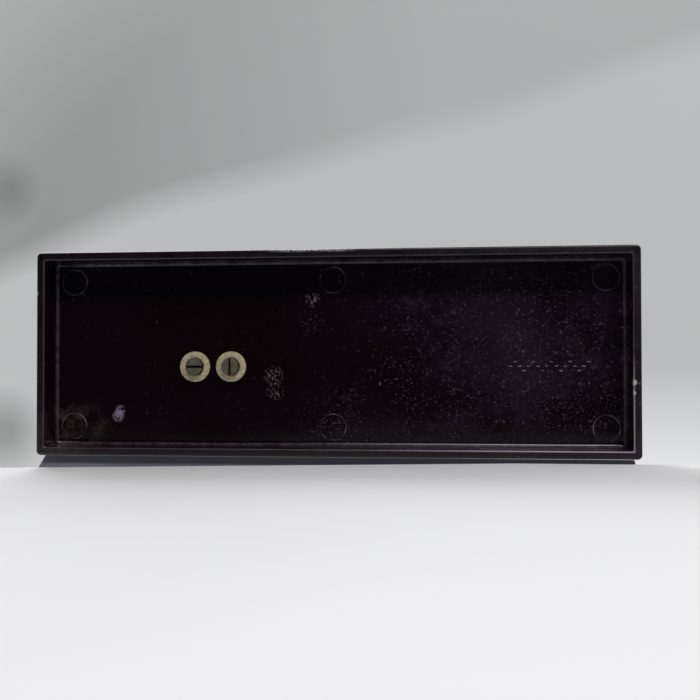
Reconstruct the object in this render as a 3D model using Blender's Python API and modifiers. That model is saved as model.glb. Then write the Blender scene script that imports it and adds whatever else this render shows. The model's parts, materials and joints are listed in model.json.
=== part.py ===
"""Wind-up alarm clock: a round drum case on the left part of a long hollow plinth.

Sizes are in millimetres and the helpers turn them into metres. X runs along the plinth, Y goes from the
dial to the back and Z is up. The origin is the middle of the plinth's underside. The movement is laid out
around the drum's axis: a station (x, z) is measured from that axis, and depths are values of Y.
"""

import math

import bmesh
import bpy
from mathutils import Matrix, Vector

MM = 0.001
GAP = 0.3                 # clearance between pieces that touch or turn on one another
WELD = 0.00001            # merge distance in metres for curve caps and turned poles
FLAT = math.radians(0.02)  # faces that lie this close to one plane are joined

# Sides of round pieces, from the drum down to the pivots
LARGE = 44
MEDIUM = 24
SMALL = 12
FINE = 8

# Plinth, open underneath
PLINTH_LENGTH = 200.0
PLINTH_DEPTH = 68.6
PLINTH_HEIGHT = 13.0
PLINTH_WALL = 2.75
PLINTH_RECESS = 10.4
PLINTH_EDGE = 1.0
RECESS_EDGE = 0.8

# Foot, screws and washers under the drum
SCREW_SPACING = 12.6
SCREW_Y = 4.45
SCREW_HEAD_R = 2.9
SCREW_HEAD_HEIGHT = 1.8
SCREW_SLOT = 0.8
SCREW_SHANK_R = 1.35
SCREW_HOLE_R = 1.7
SCREW_TIP_Z = 20.6
WASHER_R = 5.2
WASHER_THICKNESS = 0.8
WASHER_SEAT = 0.5
FOOT_WIDTH = 28.0
FOOT_DEPTH = 24.0
NUT_PLATE = (24.0, 9.0, 2.0)
NUT_PLATE_Z = 19.0

# Drum case, its axis parallel to Y
DRUM_X = -41.45
DRUM_Z = 61.0
SCREW_XS = (DRUM_X - SCREW_SPACING / 2, DRUM_X + SCREW_SPACING / 2)
DRUM_R = 45.0
DRUM_WALL = 1.0
DRUM_FRONT = -22.0
DRUM_BACK = 20.0
LIP_R = 40.5
LIP_Y = (-15.2, -14.4)
BEZEL_R = 46.5
GLASS_R = 40.2
GLASS_APEX = -29.3
GLASS_THICKNESS = 1.2
DIAL_R = 43.4
DIAL_Y = (-16.0, -15.5)
DIAL_HOLE_R = 4.2
DIAL_FOOT_RADIUS = 30.0
COVER_Y = (19.2, 20.0)
COVER_R = 43.7
COVER_SKIRT_Y = 15.0
COVER_POST_RADIUS = 33.0
COVER_POST_ANGLES = (5.0, 125.0, 250.0)

# Hands: depths, bore and boss radii, length, tail, width, and rest angle clockwise from twelve
MINUTE_HAND = ((-20.0, -19.5), 1.9, 3.2, 33.5, 8.0, 3.4, 60.0)
HOUR_HAND = ((-18.6, -18.1), 2.9, 4.2, 23.0, 7.0, 4.4, 305.0)
ALARM_HAND = ((-17.4, -16.9), 3.8, 5.0, 15.0, 5.0, 2.2, 210.0)

# Movement plates and what stands between them
PLATE_R = 39.0
FRONT_PLATE_Y = (-9.0, -8.0)
BACK_PLATE_Y = (13.0, 14.0)
PILLARS = ((31.5, 16.5), (0.0, -34.0), (-35.0, -2.0), (-14.0, 34.0))
PILLAR_R = 1.8
NUT_R = 2.6

# Stations of the arbors, (x, z) from the drum's axis
CENTRE = (0.0, 0.0)
TIME_BARREL = (14.9, -10.4)
ALARM_BARREL = (-18.5, -12.5)
THIRD = (2.6, 14.6)
FOURTH = (-9.7, 17.9)
ESCAPE = (-6.6, 29.6)
PALLET = (2.4, 31.0)
BALANCE = (17.0, 24.0)
ALARM_ESCAPE = (-23.0, 4.5)
HAMMER = (-30.5, 8.5)
ALARM_SETTING = (14.83, 7.89)
MINUTE_STUD = (-11.3, -4.1)
STOP_LEVER = PILLARS[3]
STOP_LEVER_TIP = (0.0, 36.0)
STOP_PIN = (-20.02, 24.8)

# Teeth: numbers and modules of the wheels and pinions that mesh
GREAT_TEETH = 36
TIME_GREAT_MODULE = 0.8667
ALARM_GREAT_MODULE = 0.8375
CENTRE_TEETH = 48
CENTRE_MODULE = 0.55
THIRD_TEETH = 45
THIRD_MODULE = 0.5
FOURTH_TEETH = 48
FOURTH_MODULE = 0.45
LEAVES = 6
MOTION_MODULE = 0.6
CANNON_TEETH = 10
MINUTE_TEETH = 30
MINUTE_PINION_TEETH = 8
HOUR_TEETH = 32
ALARM_SET_MODULE = 0.84
ALARM_WHEEL_TEETH = 30
ALARM_PINION_TEETH = 10
ESCAPE_TEETH = 15
ESCAPE_R = 6.0
ALARM_ESCAPE_R = 5.5

# Depths of what turns between the plates, and in front of the front plate
CENTRE_WHEEL_Y = (-7.2, -6.4)
CENTRE_PINION_Y = (-4.4, -1.8)
THIRD_WHEEL_Y = (-5.6, -4.8)
THIRD_PINION_Y = (-7.6, -6.0)
FOURTH_WHEEL_Y = (-1.5, -0.7)
FOURTH_PINION_Y = (-6.2, -4.2)
ESCAPE_WHEEL_Y = (1.0, 1.8)
ESCAPE_PINION_Y = (-2.1, -0.1)
PALLET_Y = (2.1, 2.9)
GREAT_WHEEL_Y = (-3.6, -2.4)
RATCHET_Y = (-2.1, -1.1)
MAINSPRING_Y = (-0.5, 7.5)
HAIRSPRING_Y = (7.2, 7.8)
MINUTE_WHEEL_Y = (-10.5, -9.7)
MINUTE_PINION_Y = (-12.4, -10.1)
HOUR_WHEEL_Y = (-12.2, -11.4)
ALARM_WHEEL_Y = (-14.2, -13.4)
ALARM_ESCAPE_Y = (9.4, 10.2)
ALARM_PINION_Y = (-4.2, -1.8)
HAMMER_Y = (10.9, 11.7)
STOP_LEVER_Y = (4.5, 5.5)

# Arbors and the wings of the keys
ARBOR_R = 0.7
PIVOT_HOLE_R = 1.05
CENTRE_ARBOR_R = 1.0
WINDING_R = 1.7
WING_R = 4.8
WING_REACH = 7.2

# Bell, balance and stop button
BELL_R = 42.0
BELL_WALL = 0.8
BELL_Y = (9.4, 17.2)
BELL_SLEEVE_R = 3.0
HAMMER_HEAD = (-26.5, 26.5)
BALANCE_R = 8.5
BALANCE_Y = (4.0, 5.5)
REGULATOR_RADIUS = 9.0
REGULATOR_SLOT = 26.0       # half of the angle that its slots span
REGULATOR_Y = (14.3, 15.1)
BUTTON_Y = 5.0
BUTTON_CAP_R = 5.2
BUTTON_WELL_R = 4.0
BUSH_R = 2.8
STEM_R = 1.5
SPRING_R = 2.9
SPRING_WIRE_R = 0.25
SPRING_TURNS = 4
SPRING_Z = (46.9, 51.5)      # above the drum's axis


def clear_scene():
    """Remove whatever the scene holds."""
    for old in list(bpy.data.objects):
        bpy.data.objects.remove(old, do_unlink=True)


clear_scene()
CLOCK = bpy.data.collections.new("alarm_clock")
bpy.context.scene.collection.children.link(CLOCK)


def finish(name, colour, roughness, metallic=0.0, alpha=1.0):
    """Make a Principled material."""
    material = bpy.data.materials.new(name)
    material.use_nodes = True
    shader = material.node_tree.nodes["Principled BSDF"]
    shader.inputs["Base Color"].default_value = (*colour, 1.0)
    shader.inputs["Roughness"].default_value = roughness
    shader.inputs["Metallic"].default_value = metallic
    shader.inputs["Alpha"].default_value = alpha
    return material


BLACK_PLASTIC = finish("black_plastic", (0.02, 0.016, 0.018), 0.22)
BLACK_LACQUER = finish("black_lacquer", (0.018, 0.018, 0.02), 0.18, 0.2)
AGED_STEEL = finish("aged_steel", (0.42, 0.39, 0.32), 0.38, 0.9)
BRASS = finish("brass", (0.71, 0.52, 0.24), 0.28, 1.0)
STEEL = finish("steel", (0.5, 0.5, 0.52), 0.3, 1.0)
BLUED_STEEL = finish("blued_steel", (0.06, 0.07, 0.16), 0.25, 0.9)
CREAM_PAINT = finish("cream_paint", (0.86, 0.82, 0.7), 0.55)
BLACK_PAINT = finish("black_paint", (0.015, 0.015, 0.015), 0.4)
RED_PAINT = finish("red_paint", (0.6, 0.05, 0.03), 0.4)
CLEAR_GLASS = finish("clear_glass", (0.9, 0.95, 0.95), 0.02, 0.0, 0.3)


def place(obj, material, centre=(0.0, 0.0, 0.0)):
    """Link an object to the clock's collection at a place in millimetres."""
    CLOCK.objects.link(obj)
    obj.location = Vector(centre) * MM
    if material is not None:
        obj.data.materials.append(material)
    return obj


def at(station, y=0.0):
    """World place, in millimetres, of a station at a depth."""
    return (DRUM_X + station[0], y, DRUM_Z + station[1])


def freeze(obj):
    """Turn an object with modifiers, or a curve, into a plain mesh object with welded caps."""
    bpy.context.view_layer.update()
    depsgraph = bpy.context.evaluated_depsgraph_get()
    mesh = bpy.data.meshes.new_from_object(obj.evaluated_get(depsgraph), depsgraph=depsgraph)
    shape = bmesh.new()
    shape.from_mesh(mesh)
    bmesh.ops.remove_doubles(shape, verts=shape.verts, dist=WELD)
    bmesh.ops.dissolve_limit(shape, angle_limit=FLAT, verts=shape.verts, edges=shape.edges)
    bmesh.ops.triangulate(shape, faces=[face for face in shape.faces if len(face.verts) > 4])
    shape.to_mesh(mesh)
    shape.free()
    name = obj.name
    solid = bpy.data.objects.new(name + "_solid", mesh)
    CLOCK.objects.link(solid)
    solid.matrix_world = obj.matrix_world.copy()
    bpy.data.objects.remove(obj, do_unlink=True)
    solid.name = name
    mesh.shade_smooth()
    mesh.set_sharp_from_angle(angle=math.radians(30))
    return solid


def combine(target, tools, operation):
    """Apply one exact Boolean after another, and remove the tools."""
    for tool in tools:
        boolean = target.modifiers.new(operation.lower(), "BOOLEAN")
        boolean.operation = operation
        boolean.solver = "EXACT"
        boolean.object = tool
    target = freeze(target)
    for tool in tools:
        bpy.data.objects.remove(tool, do_unlink=True)
    return target


def fuse(target, *tools):
    """Join solids into one body."""
    return combine(target, tools, "UNION")


def carve(target, *tools):
    """Cut the tools out of a body."""
    return combine(target, tools, "DIFFERENCE")


def block(name, size, centre, material=None, edge=0.0):
    """A box with rounded edges."""
    mesh = bpy.data.meshes.new(name)
    shape = bmesh.new()
    bmesh.ops.create_cube(shape, size=1.0)
    bmesh.ops.scale(shape, vec=Vector(size) * MM, verts=shape.verts)
    shape.to_mesh(mesh)
    shape.free()
    box = place(bpy.data.objects.new(name, mesh), material, centre)
    if edge > 0.0:
        bevel = box.modifiers.new("edge", "BEVEL")
        bevel.width = edge * MM
        bevel.segments = 2
    return box


def turned(name, profile, station=CENTRE, material=None, steps=SMALL, closed=False):
    """A turned piece on an axis parallel to Y.

    The profile lists (radius, y) from the front to the back down the outer side. A closed profile goes on
    up the inner side and makes a ring.
    """
    mesh = bpy.data.meshes.new(name)
    points = [(radius * MM, 0.0, -y * MM) for radius, y in profile]
    edges = [(i, i + 1) for i in range(len(points) - 1)]
    if closed:
        edges.append((len(points) - 1, 0))
    mesh.from_pydata(points, edges, [])
    piece = place(bpy.data.objects.new(name, mesh), material, at(station))
    piece.rotation_euler = (math.radians(90), 0.0, 0.0)
    screw = piece.modifiers.new("turn", "SCREW")
    screw.steps = steps
    screw.render_steps = steps
    screw.use_merge_vertices = True
    screw.merge_threshold = WELD
    return freeze(piece)


def rod(name, radius, depths, station=CENTRE, material=None, steps=SMALL):
    """A round bar parallel to Y between two depths."""
    front, back = depths
    profile = [(0.0, front), (radius, front), (radius, back), (0.0, back)]
    return turned(name, profile, station, material, steps)


def tube(name, bore, radius, depths, station=CENTRE, material=None, steps=SMALL):
    """A round sleeve parallel to Y between two depths."""
    front, back = depths
    profile = [(radius, front), (radius, back), (bore, back), (bore, front)]
    return turned(name, profile, station, material, steps, closed=True)


def arbor(station):
    """A bar that runs in both plates."""
    return rod("shaft", ARBOR_R, (FRONT_PLATE_Y[0] + 0.2, BACK_PLATE_Y[1] - 0.2), station, None, FINE)


def circle(radius, count=SMALL, centre=(0.0, 0.0)):
    """Points round a circle."""
    turn = 2 * math.pi / count
    return [(centre[0] + radius * math.cos(i * turn), centre[1] + radius * math.sin(i * turn))
            for i in range(count)]


def arc(radius, start, end, count, centre=(0.0, 0.0)):
    """Points along an arc between two angles in radians."""
    step = (end - start) / (count - 1)
    return [(centre[0] + radius * math.cos(start + i * step), centre[1] + radius * math.sin(start + i * step))
            for i in range(count)]


def plate(name, outline, depths, station=CENTRE, material=None, holes=()):
    """A flat piece facing Y: outlines of (x, z) from its station, filled and extruded."""
    front, back = depths
    curve = bpy.data.curves.new(name, "CURVE")
    curve.dimensions = "2D"
    curve.fill_mode = "BOTH"
    curve.extrude = (back - front) / 2 * MM
    for ring in (outline, *holes):
        spline = curve.splines.new("POLY")
        spline.points.add(len(ring) - 1)
        for point, (x, z) in zip(spline.points, ring):
            point.co = (x * MM, z * MM, 0.0, 1.0)
        spline.use_cyclic_u = True
    piece = place(bpy.data.objects.new(name, curve), material, at(station, (front + back) / 2))
    piece.rotation_euler = (math.radians(90), 0.0, 0.0)
    return freeze(piece)


def bearing(a, b):
    """Angle of the line from station a to station b."""
    return math.atan2(b[1] - a[1], b[0] - a[0])


def gear_outline(teeth, module, phase=0.0, addendum=1.0, dedendum=1.2, root=0.6, tip=0.0):
    """Outline of a toothed wheel. A tooth stands at the phase angle; root and tip are its widths there."""
    pitch = 2 * math.pi / teeth
    radius = teeth * module / 2
    outer = radius + addendum * module
    inner = radius - dedendum * module
    flanks = [(inner, -root / 2), (outer, -tip / 2), (outer, tip / 2), (inner, root / 2)]
    if tip == 0.0:
        flanks = [(inner, -root / 2), (outer, 0.0), (inner, root / 2)]
    points = []
    for tooth in range(teeth):
        for reach, share in flanks:
            angle = phase + (tooth + share) * pitch
            points.append((reach * math.cos(angle), reach * math.sin(angle)))
    return points


def pinion_outline(teeth, module, phase=0.0):
    """Outline of a small wheel with stout leaves."""
    return gear_outline(teeth, module, phase, addendum=0.8, dedendum=1.25, tip=0.15)


def mesh_phase(teeth, phase, mate_teeth, direction):
    """Phase of a mating wheel that lies in a direction, so that its gap faces the first wheel's tooth."""
    share = (direction - phase) / (2 * math.pi / teeth)
    return direction + math.pi - (0.5 - share) * 2 * math.pi / mate_teeth


def crossings(outer, inner, arms=3, width=1.6):
    """Window outlines that leave arms between a hub and a rim."""
    windows = []
    for i in range(arms):
        start = 2 * math.pi * i / arms
        end = start + 2 * math.pi / arms
        lean = math.asin(width / 2 / outer)
        tight = math.asin(width / 2 / inner)
        rim = arc(outer, start + lean, end - lean, 6)
        hub = arc(inner, end - tight, start + tight, 2)
        windows.append(rim + hub)
    return windows


def ratchet_outline(teeth, outer, inner):
    """Saw-toothed wheel."""
    pitch = 2 * math.pi / teeth
    points = []
    for tooth in range(teeth):
        for reach, share in ((inner, 0.0), (outer, 0.08)):
            angle = (tooth + share) * pitch
            points.append((reach * math.cos(angle), reach * math.sin(angle)))
    return points


def spiral_outline(inner, outer, turns, width):
    """A flat strip wound from a small radius to a large one, as one outline."""
    count = int(turns * SMALL)
    angles = [2 * math.pi * i / SMALL for i in range(count + 1)]
    radii = [inner + (outer - inner) * i / count for i in range(count + 1)]
    inside = [(r * math.cos(a), r * math.sin(a)) for r, a in zip(radii, angles)]
    outside = [((r + width) * math.cos(a), (r + width) * math.sin(a)) for r, a in zip(radii, angles)]
    return inside + outside[::-1]


def lever_outline(start, end, start_width, end_width):
    """A tapering arm with a round end, from one point to another."""
    direction = math.atan2(end[1] - start[1], end[0] - start[0])
    tail = arc(start_width / 2, direction + math.pi / 2, direction + math.pi * 3 / 2, 3, start)
    nose = arc(end_width / 2, direction - math.pi / 2, direction + math.pi / 2, 4, end)
    return tail + nose


def slot_outline(centre, radius, middle, half_angle, half_width):
    """An arc-shaped slot around a centre."""
    start = math.radians(middle - half_angle)
    end = math.radians(middle + half_angle)
    return (arc(radius + half_width, start, end, 5, centre)
            + arc(radius - half_width, end, start, 5, centre))


def upright(name, radius, heights, x, y, material=None, steps=SMALL, bore=0.0):
    """A round bar, or a sleeve, parallel to Z between two heights."""
    low, high = heights
    profile = [(0.0, high), (radius, high), (radius, low), (0.0, low)]
    if bore > 0.0:
        profile = [(radius, high), (radius, low), (bore, low), (bore, high)]
    mesh = bpy.data.meshes.new(name)
    edges = [(i, i + 1) for i in range(3)]
    if bore > 0.0:
        edges.append((3, 0))
    mesh.from_pydata([(r * MM, 0.0, z * MM) for r, z in profile], edges, [])
    piece = place(bpy.data.objects.new(name, mesh), material, (x, y, 0.0))
    screw = piece.modifiers.new("turn", "SCREW")
    screw.steps = steps
    screw.render_steps = steps
    screw.use_merge_vertices = True
    screw.merge_threshold = WELD
    return freeze(piece)


# ---------------------------------------------------------------- plinth and its fasteners

def build_plinth():
    """Moulded plinth: a shallow box open underneath, with seats for the two washers."""
    ceiling = PLINTH_RECESS
    size = (PLINTH_LENGTH, PLINTH_DEPTH, PLINTH_HEIGHT)
    body = block("plinth", size, (0.0, 0.0, PLINTH_HEIGHT / 2), BLACK_PLASTIC, PLINTH_EDGE)
    room = (PLINTH_LENGTH - 2 * PLINTH_WALL, PLINTH_DEPTH - 2 * PLINTH_WALL, 2 * ceiling)
    tools = [block("recess", room, (0.0, 0.0, 0.0), None, RECESS_EDGE)]
    for x in SCREW_XS:
        seat = (ceiling - 1.0, ceiling + WASHER_SEAT)
        tools.append(upright("seat", WASHER_R + 0.2, seat, x, SCREW_Y, steps=MEDIUM))
        tools.append(upright("hole", SCREW_HOLE_R, (ceiling, PLINTH_HEIGHT + 1.0), x, SCREW_Y))
    return carve(body, *tools)


def build_base_fasteners():
    """Slotted screws and flat washers that hold the drum's foot to the plinth."""
    washer_top = PLINTH_RECESS + WASHER_SEAT - GAP
    washer_bottom = washer_top - WASHER_THICKNESS
    head_top = washer_bottom - GAP
    head_bottom = head_top - SCREW_HEAD_HEIGHT
    for side, x in zip(("left", "right"), SCREW_XS):
        upright("base_washer_" + side, WASHER_R, (washer_bottom, washer_top), x, SCREW_Y, AGED_STEEL,
                MEDIUM, SCREW_HOLE_R)
        screw = upright("base_screw_" + side, SCREW_HEAD_R, (head_bottom, head_top), x, SCREW_Y,
                        AGED_STEEL, 20)
        screw = fuse(screw, upright("shank", SCREW_SHANK_R, (head_top - 0.5, SCREW_TIP_Z), x, SCREW_Y))
        slot = (SCREW_SLOT, 2.5 * SCREW_HEAD_R, 2.0)
        if side == "left":
            slot = (slot[1], slot[0], slot[2])
        carve(screw, block("slot", slot, (x, SCREW_Y, head_bottom)))


def build_foot():
    """Saddle between the plinth and the drum, and the threaded plate inside the drum."""
    bottom = PLINTH_HEIGHT + GAP
    height = 8.0
    foot = block("case_foot", (FOOT_WIDTH, FOOT_DEPTH, height), (DRUM_X, SCREW_Y, bottom + height / 2),
                 BLACK_LACQUER, 0.8)
    tools = [rod("bed", DRUM_R + GAP, (-40.0, 40.0), steps=LARGE)]
    for x in SCREW_XS:
        tools.append(upright("hole", SCREW_HOLE_R, (0.0, 30.0), x, SCREW_Y))
    carve(foot, *tools)
    centre = (DRUM_X, SCREW_Y, NUT_PLATE_Z + NUT_PLATE[2] / 2)
    nut_plate = block("foot_nut_plate", NUT_PLATE, centre, STEEL, 0.3)
    holes = [upright("hole", SCREW_SHANK_R + GAP, (0.0, 30.0), x, SCREW_Y) for x in SCREW_XS]
    carve(nut_plate, *holes)


# ---------------------------------------------------------------- drum case, glass and dial

def build_drum():
    """Case drum with an inward lip that the dial rests against."""
    inner = DRUM_R - DRUM_WALL
    profile = [(DRUM_R, DRUM_FRONT), (DRUM_R, DRUM_BACK), (inner, DRUM_BACK), (inner, LIP_Y[1]),
               (LIP_R, LIP_Y[1]), (LIP_R, LIP_Y[0]), (inner, LIP_Y[0]), (inner, DRUM_FRONT)]
    drum = turned("drum_case", profile, CENTRE, BLACK_LACQUER, LARGE, closed=True)
    tools = [upright("hole", SCREW_HOLE_R, (0.0, 30.0), x, SCREW_Y) for x in SCREW_XS]
    tools.append(upright("button_hole", BUSH_R + GAP, (DRUM_Z + 30.0, DRUM_Z + 60.0), DRUM_X, BUTTON_Y))
    return carve(drum, *tools)


def build_bezel_and_glass():
    """Front bezel, domed glass and the ring that spaces the glass from the dial."""
    skirt = DRUM_R + GAP
    bezel = [(43.0, -26.8), (45.2, -26.2), (BEZEL_R, -24.6), (BEZEL_R, -19.6), (skirt, -19.4),
             (skirt, -25.5), (40.7, -25.5), (40.8, -26.2)]
    turned("front_bezel", bezel, CENTRE, BRASS, LARGE, closed=True)
    rise = -25.2 - GLASS_APEX
    sphere_r = (GLASS_R ** 2 + rise ** 2) / (2 * rise)
    centre_y = GLASS_APEX + sphere_r
    reach = math.asin(GLASS_R / sphere_r)
    outside = []
    inside = []
    for i in range(5):
        angle = reach * i / 4
        outside.append((sphere_r * math.sin(angle), centre_y - sphere_r * math.cos(angle)))
        small = sphere_r - GLASS_THICKNESS
        inside.append((small * math.sin(angle), centre_y - small * math.cos(angle)))
    rim = [(43.6, -25.2), (43.6, -25.2 + GLASS_THICKNESS)]
    turned("glass", outside + rim + inside[::-1], CENTRE, CLEAR_GLASS, MEDIUM)
    ring = [(43.6, -23.7), (43.6, -16.3), (40.2, -16.3), (41.4, -23.7)]
    turned("dial_ring", ring, CENTRE, BRASS, LARGE, closed=True)


def build_dial():
    """Dial with three feet that reach the movement's front plate."""
    dial = plate("dial", circle(DIAL_R, LARGE), DIAL_Y, CENTRE, CREAM_PAINT, [circle(DIAL_HOLE_R, 20)])
    feet = []
    for angle in (30.0, 150.0, 270.0):
        station = arc(DIAL_FOOT_RADIUS, math.radians(angle), 0.0, 2)[0]
        feet.append(rod("foot", 1.2, (DIAL_Y[0] + 0.2, FRONT_PLATE_Y[0] - GAP), station, None, FINE))
    return fuse(dial, *feet)


def build_hand(name, shape, material):
    """A flat leaf with a ring at its pipe, turned to its rest angle."""
    depths, bore, boss, length, tail, width, rest = shape
    half = width / 2
    leaf = [(-0.6 * half, 0.0), (-half, 0.55 * length), (0.0, length), (half, 0.55 * length),
            (0.6 * half, 0.0), (0.7 * half, -tail), (-0.7 * half, -tail)]
    cosine = math.cos(math.radians(rest))
    sine = math.sin(math.radians(rest))
    leaf = [(x * cosine + z * sine, z * cosine - x * sine) for x, z in leaf]
    blade = plate(name + "_blade", leaf, depths)
    ring = plate(name, circle(boss, 16), depths, CENTRE, material)
    bar = rod("bore", bore, (depths[0] - 1.0, depths[1] + 1.0))
    return carve(fuse(ring, blade), bar)


def build_hands():
    """Minute, hour and alarm hands, set at ten past ten with the alarm at seven."""
    build_hand("minute_hand", MINUTE_HAND, BLACK_PAINT)
    build_hand("hour_hand", HOUR_HAND, BLACK_PAINT)
    build_hand("alarm_hand", ALARM_HAND, RED_PAINT)


# ---------------------------------------------------------------- movement frame

def cover_posts():
    """Stations of the posts that carry the back cover's screws."""
    return [arc(COVER_POST_RADIUS, math.radians(a), 0.0, 2)[0] for a in COVER_POST_ANGLES]


def build_front_plate():
    """Front plate with its riveted pillars and the stud of the minute wheel."""
    holes = [circle(PIVOT_HOLE_R, FINE, s) for s in (THIRD, FOURTH, ESCAPE, PALLET, BALANCE, ALARM_ESCAPE,
                                                   HAMMER)]
    holes += [circle(1.2, FINE, s) for s in (TIME_BARREL, ALARM_BARREL)]
    holes.append(circle(CENTRE_ARBOR_R + GAP, FINE))
    holes.append(circle(1.2 + GAP, FINE, ALARM_SETTING))
    front = plate("front_plate", circle(PLATE_R, 36), FRONT_PLATE_Y, CENTRE, BRASS, holes)
    inside = FRONT_PLATE_Y[1]
    shoulder = BACK_PLATE_Y[0] - GAP
    tip = BACK_PLATE_Y[1] + 2.0
    parts = []
    for station in PILLARS:
        profile = [(0.0, inside - 0.5), (PILLAR_R, inside - 0.5), (PILLAR_R, shoulder), (1.1, shoulder),
                   (1.1, tip), (0.0, tip)]
        parts.append(turned("pillar", profile, station, None, FINE))
    parts.append(rod("stud", 1.0, (-12.9, FRONT_PLATE_Y[0] + 0.5), MINUTE_STUD, None, FINE))
    return fuse(front, *parts)


def build_back_plate():
    """Back plate with the posts of the back cover and the hollow boss of the bell."""
    holes = [circle(PIVOT_HOLE_R, FINE, s) for s in (THIRD, FOURTH, ESCAPE, PALLET, BALANCE, ALARM_ESCAPE,
                                                   HAMMER)]
    holes += [circle(WINDING_R + GAP, 12, s) for s in (TIME_BARREL, ALARM_BARREL)]
    holes += [circle(1.1 + GAP, FINE, s) for s in PILLARS]
    holes.append(circle(CENTRE_ARBOR_R + GAP, FINE))
    holes.append(circle(1.2 + GAP, FINE, ALARM_SETTING))
    back = plate("back_plate", circle(PLATE_R, 36), BACK_PLATE_Y, CENTRE, BRASS, holes)
    seat = BACK_PLATE_Y[1] - 0.5
    posts = []
    for station in cover_posts():
        profile = [(2.2, seat), (2.2, COVER_Y[0] - GAP), (1.3, COVER_Y[0] - GAP), (1.3, 15.2), (0.0, 15.2)]
        posts.append(turned("post", [(0.0, seat)] + profile, station, None, FINE))
    posts.append(tube("boss", BELL_SLEEVE_R + GAP, 4.4, (seat, BELL_Y[1] - BELL_WALL - GAP), CENTRE))
    return fuse(back, *posts)


def build_plate_nuts():
    """Round nuts on the pillars' ends."""
    depths = (BACK_PLATE_Y[1] + GAP, BACK_PLATE_Y[1] + 1.9)
    for number, station in enumerate(PILLARS, 1):
        plate("pillar_nut_%d" % number, circle(NUT_R, 6), depths, station, STEEL, [circle(1.1 + GAP, FINE)])


# ---------------------------------------------------------------- bell and back cover

def rear_openings(extra=0.0):
    """Outlines that let the winding and setting arbors, the posts and the regulator pass."""
    outlines = [circle(2.8 + extra, 12, s) for s in (TIME_BARREL, ALARM_BARREL)]
    outlines.append(circle(2.0 + extra, 12, ALARM_SETTING))
    outlines.append(slot_outline(BALANCE, REGULATOR_RADIUS, 90.0, REGULATOR_SLOT, 1.3))
    return outlines


def build_bell():
    """Bell cup behind the back plate, and the hollow nut that holds it to its boss."""
    inner = BELL_R - BELL_WALL
    disc = BELL_Y[1] - BELL_WALL
    profile = [(0.0, disc), (inner, disc), (inner, BELL_Y[0]), (BELL_R, BELL_Y[0]), (BELL_R, BELL_Y[1]),
               (0.0, BELL_Y[1])]
    cup = turned("alarm_bell", profile, CENTRE, BRASS, LARGE)
    outlines = rear_openings()
    outlines.append(circle(BELL_SLEEVE_R + GAP, SMALL))
    outlines += [circle(2.2 + GAP, FINE, s) for s in cover_posts()]
    cup = carve(cup, *[plate("opening", o, (disc - 1.0, BELL_Y[1] + 1.0)) for o in outlines])
    nut = [(BELL_SLEEVE_R, BACK_PLATE_Y[1] + 0.6), (BELL_SLEEVE_R, BELL_Y[1] + GAP), (4.6, BELL_Y[1] + GAP),
           (4.6, 18.8), (1.9, 18.8), (1.9, BACK_PLATE_Y[1] + 0.6)]
    turned("bell_nut", nut, CENTRE, STEEL, SMALL, closed=True)
    return cup


def build_back_cover():
    """Pressed back cover and its three screws."""
    front, back = COVER_Y
    inner = COVER_R - 0.8
    profile = [(0.0, front), (inner, front), (inner, COVER_SKIRT_Y), (COVER_R, COVER_SKIRT_Y),
               (COVER_R, back), (0.0, back)]
    cover = turned("back_cover", profile, CENTRE, BRASS, LARGE)
    outlines = rear_openings(0.2)
    outlines.append(circle(2.1, 12))
    outlines += [circle(1.3, FINE, s) for s in cover_posts()]
    carve(cover, *[plate("opening", o, (front - 1.0, back + 1.0)) for o in outlines])
    for number, station in enumerate(cover_posts(), 1):
        head = (back + GAP, back + 1.5)
        profile = [(0.0, 15.6), (1.0, 15.6), (1.0, head[0]), (2.4, head[0]), (2.4, head[1]), (0.0, head[1])]
        screw = turned("back_cover_screw_%d" % number, profile, station, STEEL, 12)
        slot = block("slot", (6.0, 1.2, 0.6), at(station, head[1]))
        carve(screw, slot)


# ---------------------------------------------------------------- going train

def wheel_with_pinion(name, station, wheel, wheel_y, pinion, pinion_y, windows):
    """A train wheel and a pinion on one arbor."""
    body = plate(name, wheel, wheel_y, station, BRASS, windows)
    leaves = plate("leaves", pinion, pinion_y, station)
    shaft = arbor(station)
    return fuse(body, leaves, shaft)


def winding_side(prefix, station, module, click_angle):
    """Great wheel, click and winding arbor of one mainspring, and the mainspring."""
    stud = arc(9.6, math.radians(click_angle), 0.0, 2)[0]
    click_station = (station[0] + stud[0], station[1] + stud[1])
    great = plate(prefix + "_great_wheel", gear_outline(GREAT_TEETH, module),
                  GREAT_WHEEL_Y, station, BRASS, [circle(WINDING_R + GAP, SMALL)])
    fuse(great, rod("stud", 0.9, (-3.0, -0.9), click_station, None, FINE))
    shaft = [(0.0, -8.8), (0.9, -8.8), (0.9, -7.7), (WINDING_R, -7.7), (WINDING_R, 30.0), (0.0, 30.0)]
    shaft = turned(prefix + "_winding_arbor", shaft, station, STEEL)
    fuse(shaft, plate("ratchet", ratchet_outline(14, 6.2, 5.0), RATCHET_Y, station))
    tip = arc(6.75, math.radians(click_angle + 26.0), 0.0, 2)[0]
    nose = (tip[0] - stud[0], tip[1] - stud[1])
    click = plate(prefix + "_click", circle(2.0), RATCHET_Y, click_station, STEEL)
    click = fuse(click, plate("nose", lever_outline((0.0, 0.0), nose, 2.2, 0.7), RATCHET_Y, click_station))
    carve(click, rod("bore", 0.9 + GAP, (-4.0, 2.0), click_station, None, FINE))
    plate(prefix + "_mainspring", spiral_outline(2.6, 13.4, 4.5, 0.5), MAINSPRING_Y, station, BLUED_STEEL)


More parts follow.
